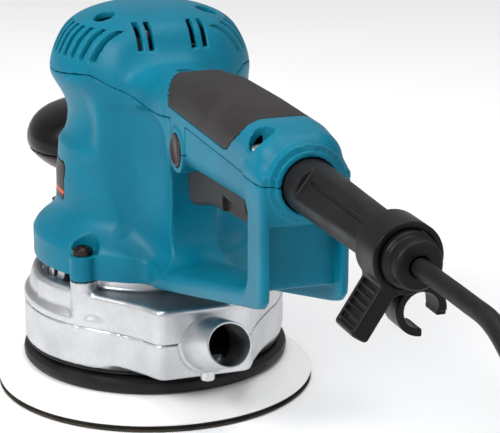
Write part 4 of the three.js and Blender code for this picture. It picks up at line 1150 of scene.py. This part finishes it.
def trigger_field(x, y, z):
    lever = both(trigger_read(x, z), abs(y) - 8, 2.2)
    back = both(both(abs(x - 143) - 14, abs(z - 117.5) - 5, 1), 5.6 - abs(y), 0.5)
    lever = cut_from(lever, back, 0.5)
    return cut_from(lever, np.hypot(x - 150, z - 138) - 2.3, 0.2)


trigger_nylon = finish(
    "trigger_nylon", moulded(colour(26, 24, 24), colour(38, 36, 36), 1400, 0.00007, 0.4)
)
lever_skin = skin(trigger_field, (80, -9.5, 105), (160, 9.5, 144), 0.7)
lever = solid("trigger_lever_skin", *lever_skin, trigger_nylon)
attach(lever, "trigger_lever")
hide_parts("trigger")

# ---- Lock button: a round push button on the handle's left, sprung outwards, with a raised rim.
lock_outline = [
    (0.001, -18.1), (4.6, -18.15), (5.2, -18.5), (5.7, -18.9), (6.4, -18.9), (6.85, -18.5),
    (6.9, -17.9), (6.9, -12.4), (0.001, -12.4),
]
button_gloss = finish(
    "lock_button_gloss", moulded(colour(40, 32, 30), colour(56, 46, 43), 1500, 0.00003, 0.16)
)
button = solid(
    "lock_push_button", *turned(lock_outline, 64, "y", (99.5, 0, 134.5)), button_gloss, sharp=45
)
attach(button, "lock")
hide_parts("lock_button")

# ---- Screws: pan heads with a cross recess, black on the base and bright on the cover. Each is
# one screw put on its mark.
def screw_mesh(name, marks, head_radius, head_height, shank_radius, length, material):
    """The screws at the marks, built by Geometry Nodes and kept as one plain mesh."""
    tree = bpy.data.node_groups.new(name + "_maker", "GeometryNodeTree")
    sockets = {}
    for label, kind in (
        ("Marks", "NodeSocketGeometry"),
        ("Head Radius", "NodeSocketFloat"),
        ("Head Height", "NodeSocketFloat"),
        ("Shank Radius", "NodeSocketFloat"),
        ("Length", "NodeSocketFloat"),
        ("Material", "NodeSocketMaterial"),
    ):
        sockets[label] = tree.interface.new_socket(label, in_out="INPUT", socket_type=kind).identifier
    tree.interface.new_socket("Screws", in_out="OUTPUT", socket_type="NodeSocketGeometry")
    given = tree.nodes.new("NodeGroupInput")
    result = tree.nodes.new("NodeGroupOutput")

    def node(kind, inputs, **settings):
        made = tree.nodes.new(kind)
        for key, value in settings.items():
            setattr(made, key, value)
        for key, value in inputs.items():
            if isinstance(value, bpy.types.NodeSocket):
                tree.links.new(value, made.inputs[key])
            else:
                made.inputs[key].default_value = value
        return made

    def sum_of(a, b, operation="ADD"):
        return node("ShaderNodeMath", {0: a, 1: b}, operation=operation).outputs[0]

    def rod(radius, depth, middle, count=40):
        made = node("GeometryNodeMeshCylinder", {"Vertices": count, "Radius": radius, "Depth": depth})
        lift = node("ShaderNodeCombineXYZ", {"Z": middle}).outputs[0]
        return node("GeometryNodeTransform", {"Geometry": made.outputs["Mesh"], "Translation": lift})

    height = given.outputs["Head Height"]
    wide = given.outputs["Head Radius"]
    skirt = rod(wide, sum_of(height, 0.55, "MULTIPLY"), sum_of(height, 0.275, "MULTIPLY"))
    dome = node("GeometryNodeMeshUVSphere", {"Segments": 40, "Rings": 24, "Radius": 1.0})
    squash = node("ShaderNodeCombineXYZ", {"X": wide, "Y": wide, "Z": sum_of(height, 0.98, "MULTIPLY")})
    dome = node(
        "GeometryNodeTransform", {"Geometry": dome.outputs["Mesh"], "Scale": squash.outputs[0]}
    )
    bottom_half = node("GeometryNodeMeshCube", {"Size": (0.03, 0.03, 0.03)})
    bottom_half = node(
        "GeometryNodeTransform",
        {"Geometry": bottom_half.outputs["Mesh"], "Translation": (0, 0, -0.01497)},
    )
    dome = node(
        "GeometryNodeMeshBoolean",
        {"Mesh 1": dome.outputs[0], "Mesh 2": bottom_half.outputs[0]},
        operation="DIFFERENCE",
        solver="MANIFOLD",
    )
    shank_depth = given.outputs["Length"]
    shank = rod(
        given.outputs["Shank Radius"],
        sum_of(shank_depth, 0.0002),
        sum_of(sum_of(shank_depth, -0.5, "MULTIPLY"), 0.0001),
        24,
    )
    join_all = tree.nodes.new("GeometryNodeMeshBoolean")
    join_all.operation, join_all.solver = "UNION", "MANIFOLD"
    for part in (skirt, dome, shank):
        tree.links.new(part.outputs[0], join_all.inputs["Mesh 2"])
    slots = tree.nodes.new("GeometryNodeMeshBoolean")
    slots.operation, slots.solver = "DIFFERENCE", "MANIFOLD"
    tree.links.new(join_all.outputs["Mesh"], slots.inputs["Mesh 1"])
    reach = sum_of(wide, 1.15, "MULTIPLY")
    for long_x in (True, False):
        size = node(
            "ShaderNodeCombineXYZ",
            {"X": reach if long_x else 0.0009, "Y": 0.0009 if long_x else reach, "Z": 0.0022},
        )
        bar = node("GeometryNodeMeshCube", {"Size": size.outputs[0]})
        lift = node("ShaderNodeCombineXYZ", {"Z": height}).outputs[0]
        bar = node("GeometryNodeTransform", {"Geometry": bar.outputs["Mesh"], "Translation": lift})
        tree.links.new(bar.outputs[0], slots.inputs["Mesh 2"])
    placed = node(
        "GeometryNodeInstanceOnPoints", {"Points": given.outputs["Marks"], "Instance": slots.outputs["Mesh"]}
    )
    real = node("GeometryNodeRealizeInstances", {"Geometry": placed.outputs["Instances"]})
    painted = node(
        "GeometryNodeSetMaterial",
        {"Geometry": real.outputs["Geometry"], "Material": given.outputs["Material"]},
    )
    tree.links.new(painted.outputs["Geometry"], result.inputs[0])
    marker = bpy.data.meshes.new(name)
    marker.from_pydata((np.array(marks, float) * 0.001).tolist(), [], [])
    piece = show(name, marker)
    maker = piece.modifiers.new("maker", "NODES")
    maker.node_group = tree
    for label, value in (
        ("Head Radius", head_radius * 0.001),
        ("Head Height", head_height * 0.001),
        ("Shank Radius", shank_radius * 0.001),
        ("Length", length * 0.001),
        ("Material", material),
    ):
        maker[sockets[label]] = value
    seen = piece.evaluated_get(bpy.context.evaluated_depsgraph_get())
    mesh = bpy.data.meshes.new_from_object(seen)
    piece.modifiers.clear()
    piece.data = mesh
    mesh.shade_smooth()
    mesh.set_sharp_from_angle(angle=math.radians(32))
    return piece


screw_bright = ribbed(2500, 2, (colour(150, 150, 152), colour(196, 196, 198)))
black_oxide = finish(
    "screw_black_oxide", ribbed(2500, 2, (colour(30, 27, 26), colour(58, 52, 49))), Metallic=0.8
)
zinc = finish("screw_zinc", screw_bright, Metallic=1.0)
for i, (x, y) in enumerate(boss_spots):
    screw = screw_mesh(f"base_pan_screw_{i + 1}", [(x, y, 73.3)], 4.6, 4.0, 2.3, 26, black_oxide)
    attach(screw, "machine")
    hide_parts(f"base_screw_{i + 1}")
for word, (x, y, seat) in cover_screw_spots.items():
    screw = screw_mesh(f"cover_pan_screw_{word}", [(x, y, seat + 0.3)], 3.8, 2.5, 2, 24, zinc)
    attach(screw, "machine")
    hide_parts(f"cover_screw_{word}")

# ---- Motor, drive and fixings: ground steel, wound copper, stacked iron and plain nylon, all
# behind the housings or over the pad. Their CAD shapes stay, each in its own finish.
def dull_copper(place):
    wraps = place.maths("SINE", place.part_of(2) * 5200, 0)
    stains = place.clouds(220, 4)
    return {
        "Base Color": stains.ramp(0.3, 0.7).tint(colour(150, 78, 42), colour(198, 120, 74)),
        "Roughness": 0.28 + stains * 0.2,
        "Normal": (wraps * 0.5 + 0.5).bumps(0.5, 0.0002),
    }


def stacked_sheets(place):
    sheets = place.maths("SINE", place.part_of(2) * 9000, 0)
    stains = place.clouds(120, 4)
    return {
        "Base Color": stains.ramp(0.3, 0.7).tint(colour(96, 96, 100), colour(140, 140, 146)),
        "Roughness": 0.4 + stains * 0.2,
        "Normal": (sheets * 0.5 + 0.5).bumps(0.4, 0.0001),
    }


ground_steel = finish(
    "ground_steel", ribbed(6000, 2, (colour(150, 150, 154), colour(192, 192, 196))), Metallic=1.0
)
white_nylon = finish(
    "white_nylon", moulded(colour(206, 204, 198), colour(224, 222, 216), 1500, 0.00005, 0.4)
)
black_nylon = finish("black_nylon", moulded(colour(26, 26, 27), colour(42, 41, 42), 1500, 0.00006, 0.4))
carbon = finish("brush_carbon", moulded(colour(30, 30, 33), colour(52, 52, 56), 2400, 0.0001, 0.55))
copper = finish("copper_wire_lacquer", dull_copper, Metallic=1.0)
sheet_iron = finish("iron_laminations", stacked_sheets, Metallic=0.9)
kept = {
    "eccentric_carrier": cast_metal,
    "dust_fan": cast_metal,
    "cooling_fan": white_nylon,
    "air_baffle": white_nylon,
    "cord_clamp": white_nylon,
    "lower_bearing": ground_steel,
    "upper_bearing": ground_steel,
    "pad_bearing_lower": ground_steel,
    "pad_bearing_upper": ground_steel,
    "motor_shaft": ground_steel,
    "pad_spindle": ground_steel,
    "pad_washer": ground_steel,
    "pad_bolt": ground_steel,
    "trigger_pin": ground_steel,
    "front_grip_bolt": ground_steel,
    "armature_core": sheet_iron,
    "stator_core": sheet_iron,
    "armature_winding_lower": copper,
    "armature_winding_upper": copper,
    "commutator": copper,
    "field_coil_front": copper,
    "field_coil_rear": copper,
    "brush_holder_left": black_nylon,
    "brush_holder_right": black_nylon,
    "switch_body": black_nylon,
    "carbon_brush_left": carbon,
    "carbon_brush_right": carbon,
}
for name, material in kept.items():
    for slot_holder in nodes[name].material_slots:
        slot_holder.material = material


# ---- Floor and light: a pale sweep and three large soft lamps, which aren't part of the sander.
bpy.ops.mesh.primitive_plane_add(size=14, location=(0, 0, -0.0004))
floor = bpy.context.object
floor.name = "floor"


def paper(place):
    return {"Base Color": place.clouds(3, 2).tint(colour(243, 243, 244), colour(249, 249, 250))}


floor.data.materials.append(finish("floor_paper", paper, Roughness=0.75))


def lamp(name, place, aim, size, watts):
    light = bpy.data.objects.new(name, bpy.data.lights.new(name, "AREA"))
    light.data.shape = "RECTANGLE"
    light.data.size, light.data.size_y = size
    light.data.energy = watts
    light.location = place
    light.rotation_euler = (Vector(aim) - Vector(place)).to_track_quat("-Z", "Y").to_euler()
    bpy.context.scene.collection.objects.link(light)


lamp("key_lamp", (0.5, -1.2, 1.1), (0.03, 0, 0.09), (0.7, 0.7), 22)
lamp("top_lamp", (0.1, 0.1, 1.5), (0.05, 0, 0.08), (1.4, 1.0), 14)
lamp("fill_lamp", (1.6, 0.9, 0.7), (0.05, 0, 0.09), (0.8, 1.0), 5)
world = bpy.data.worlds.new("studio")
world.use_nodes = True
world.node_tree.nodes["Background"].inputs["Color"].default_value = (1, 1, 1, 1)
world.node_tree.nodes["Background"].inputs["Strength"].default_value = 0.42
bpy.context.scene.world = world
bpy.context.scene.view_settings.view_transform = "Standard"
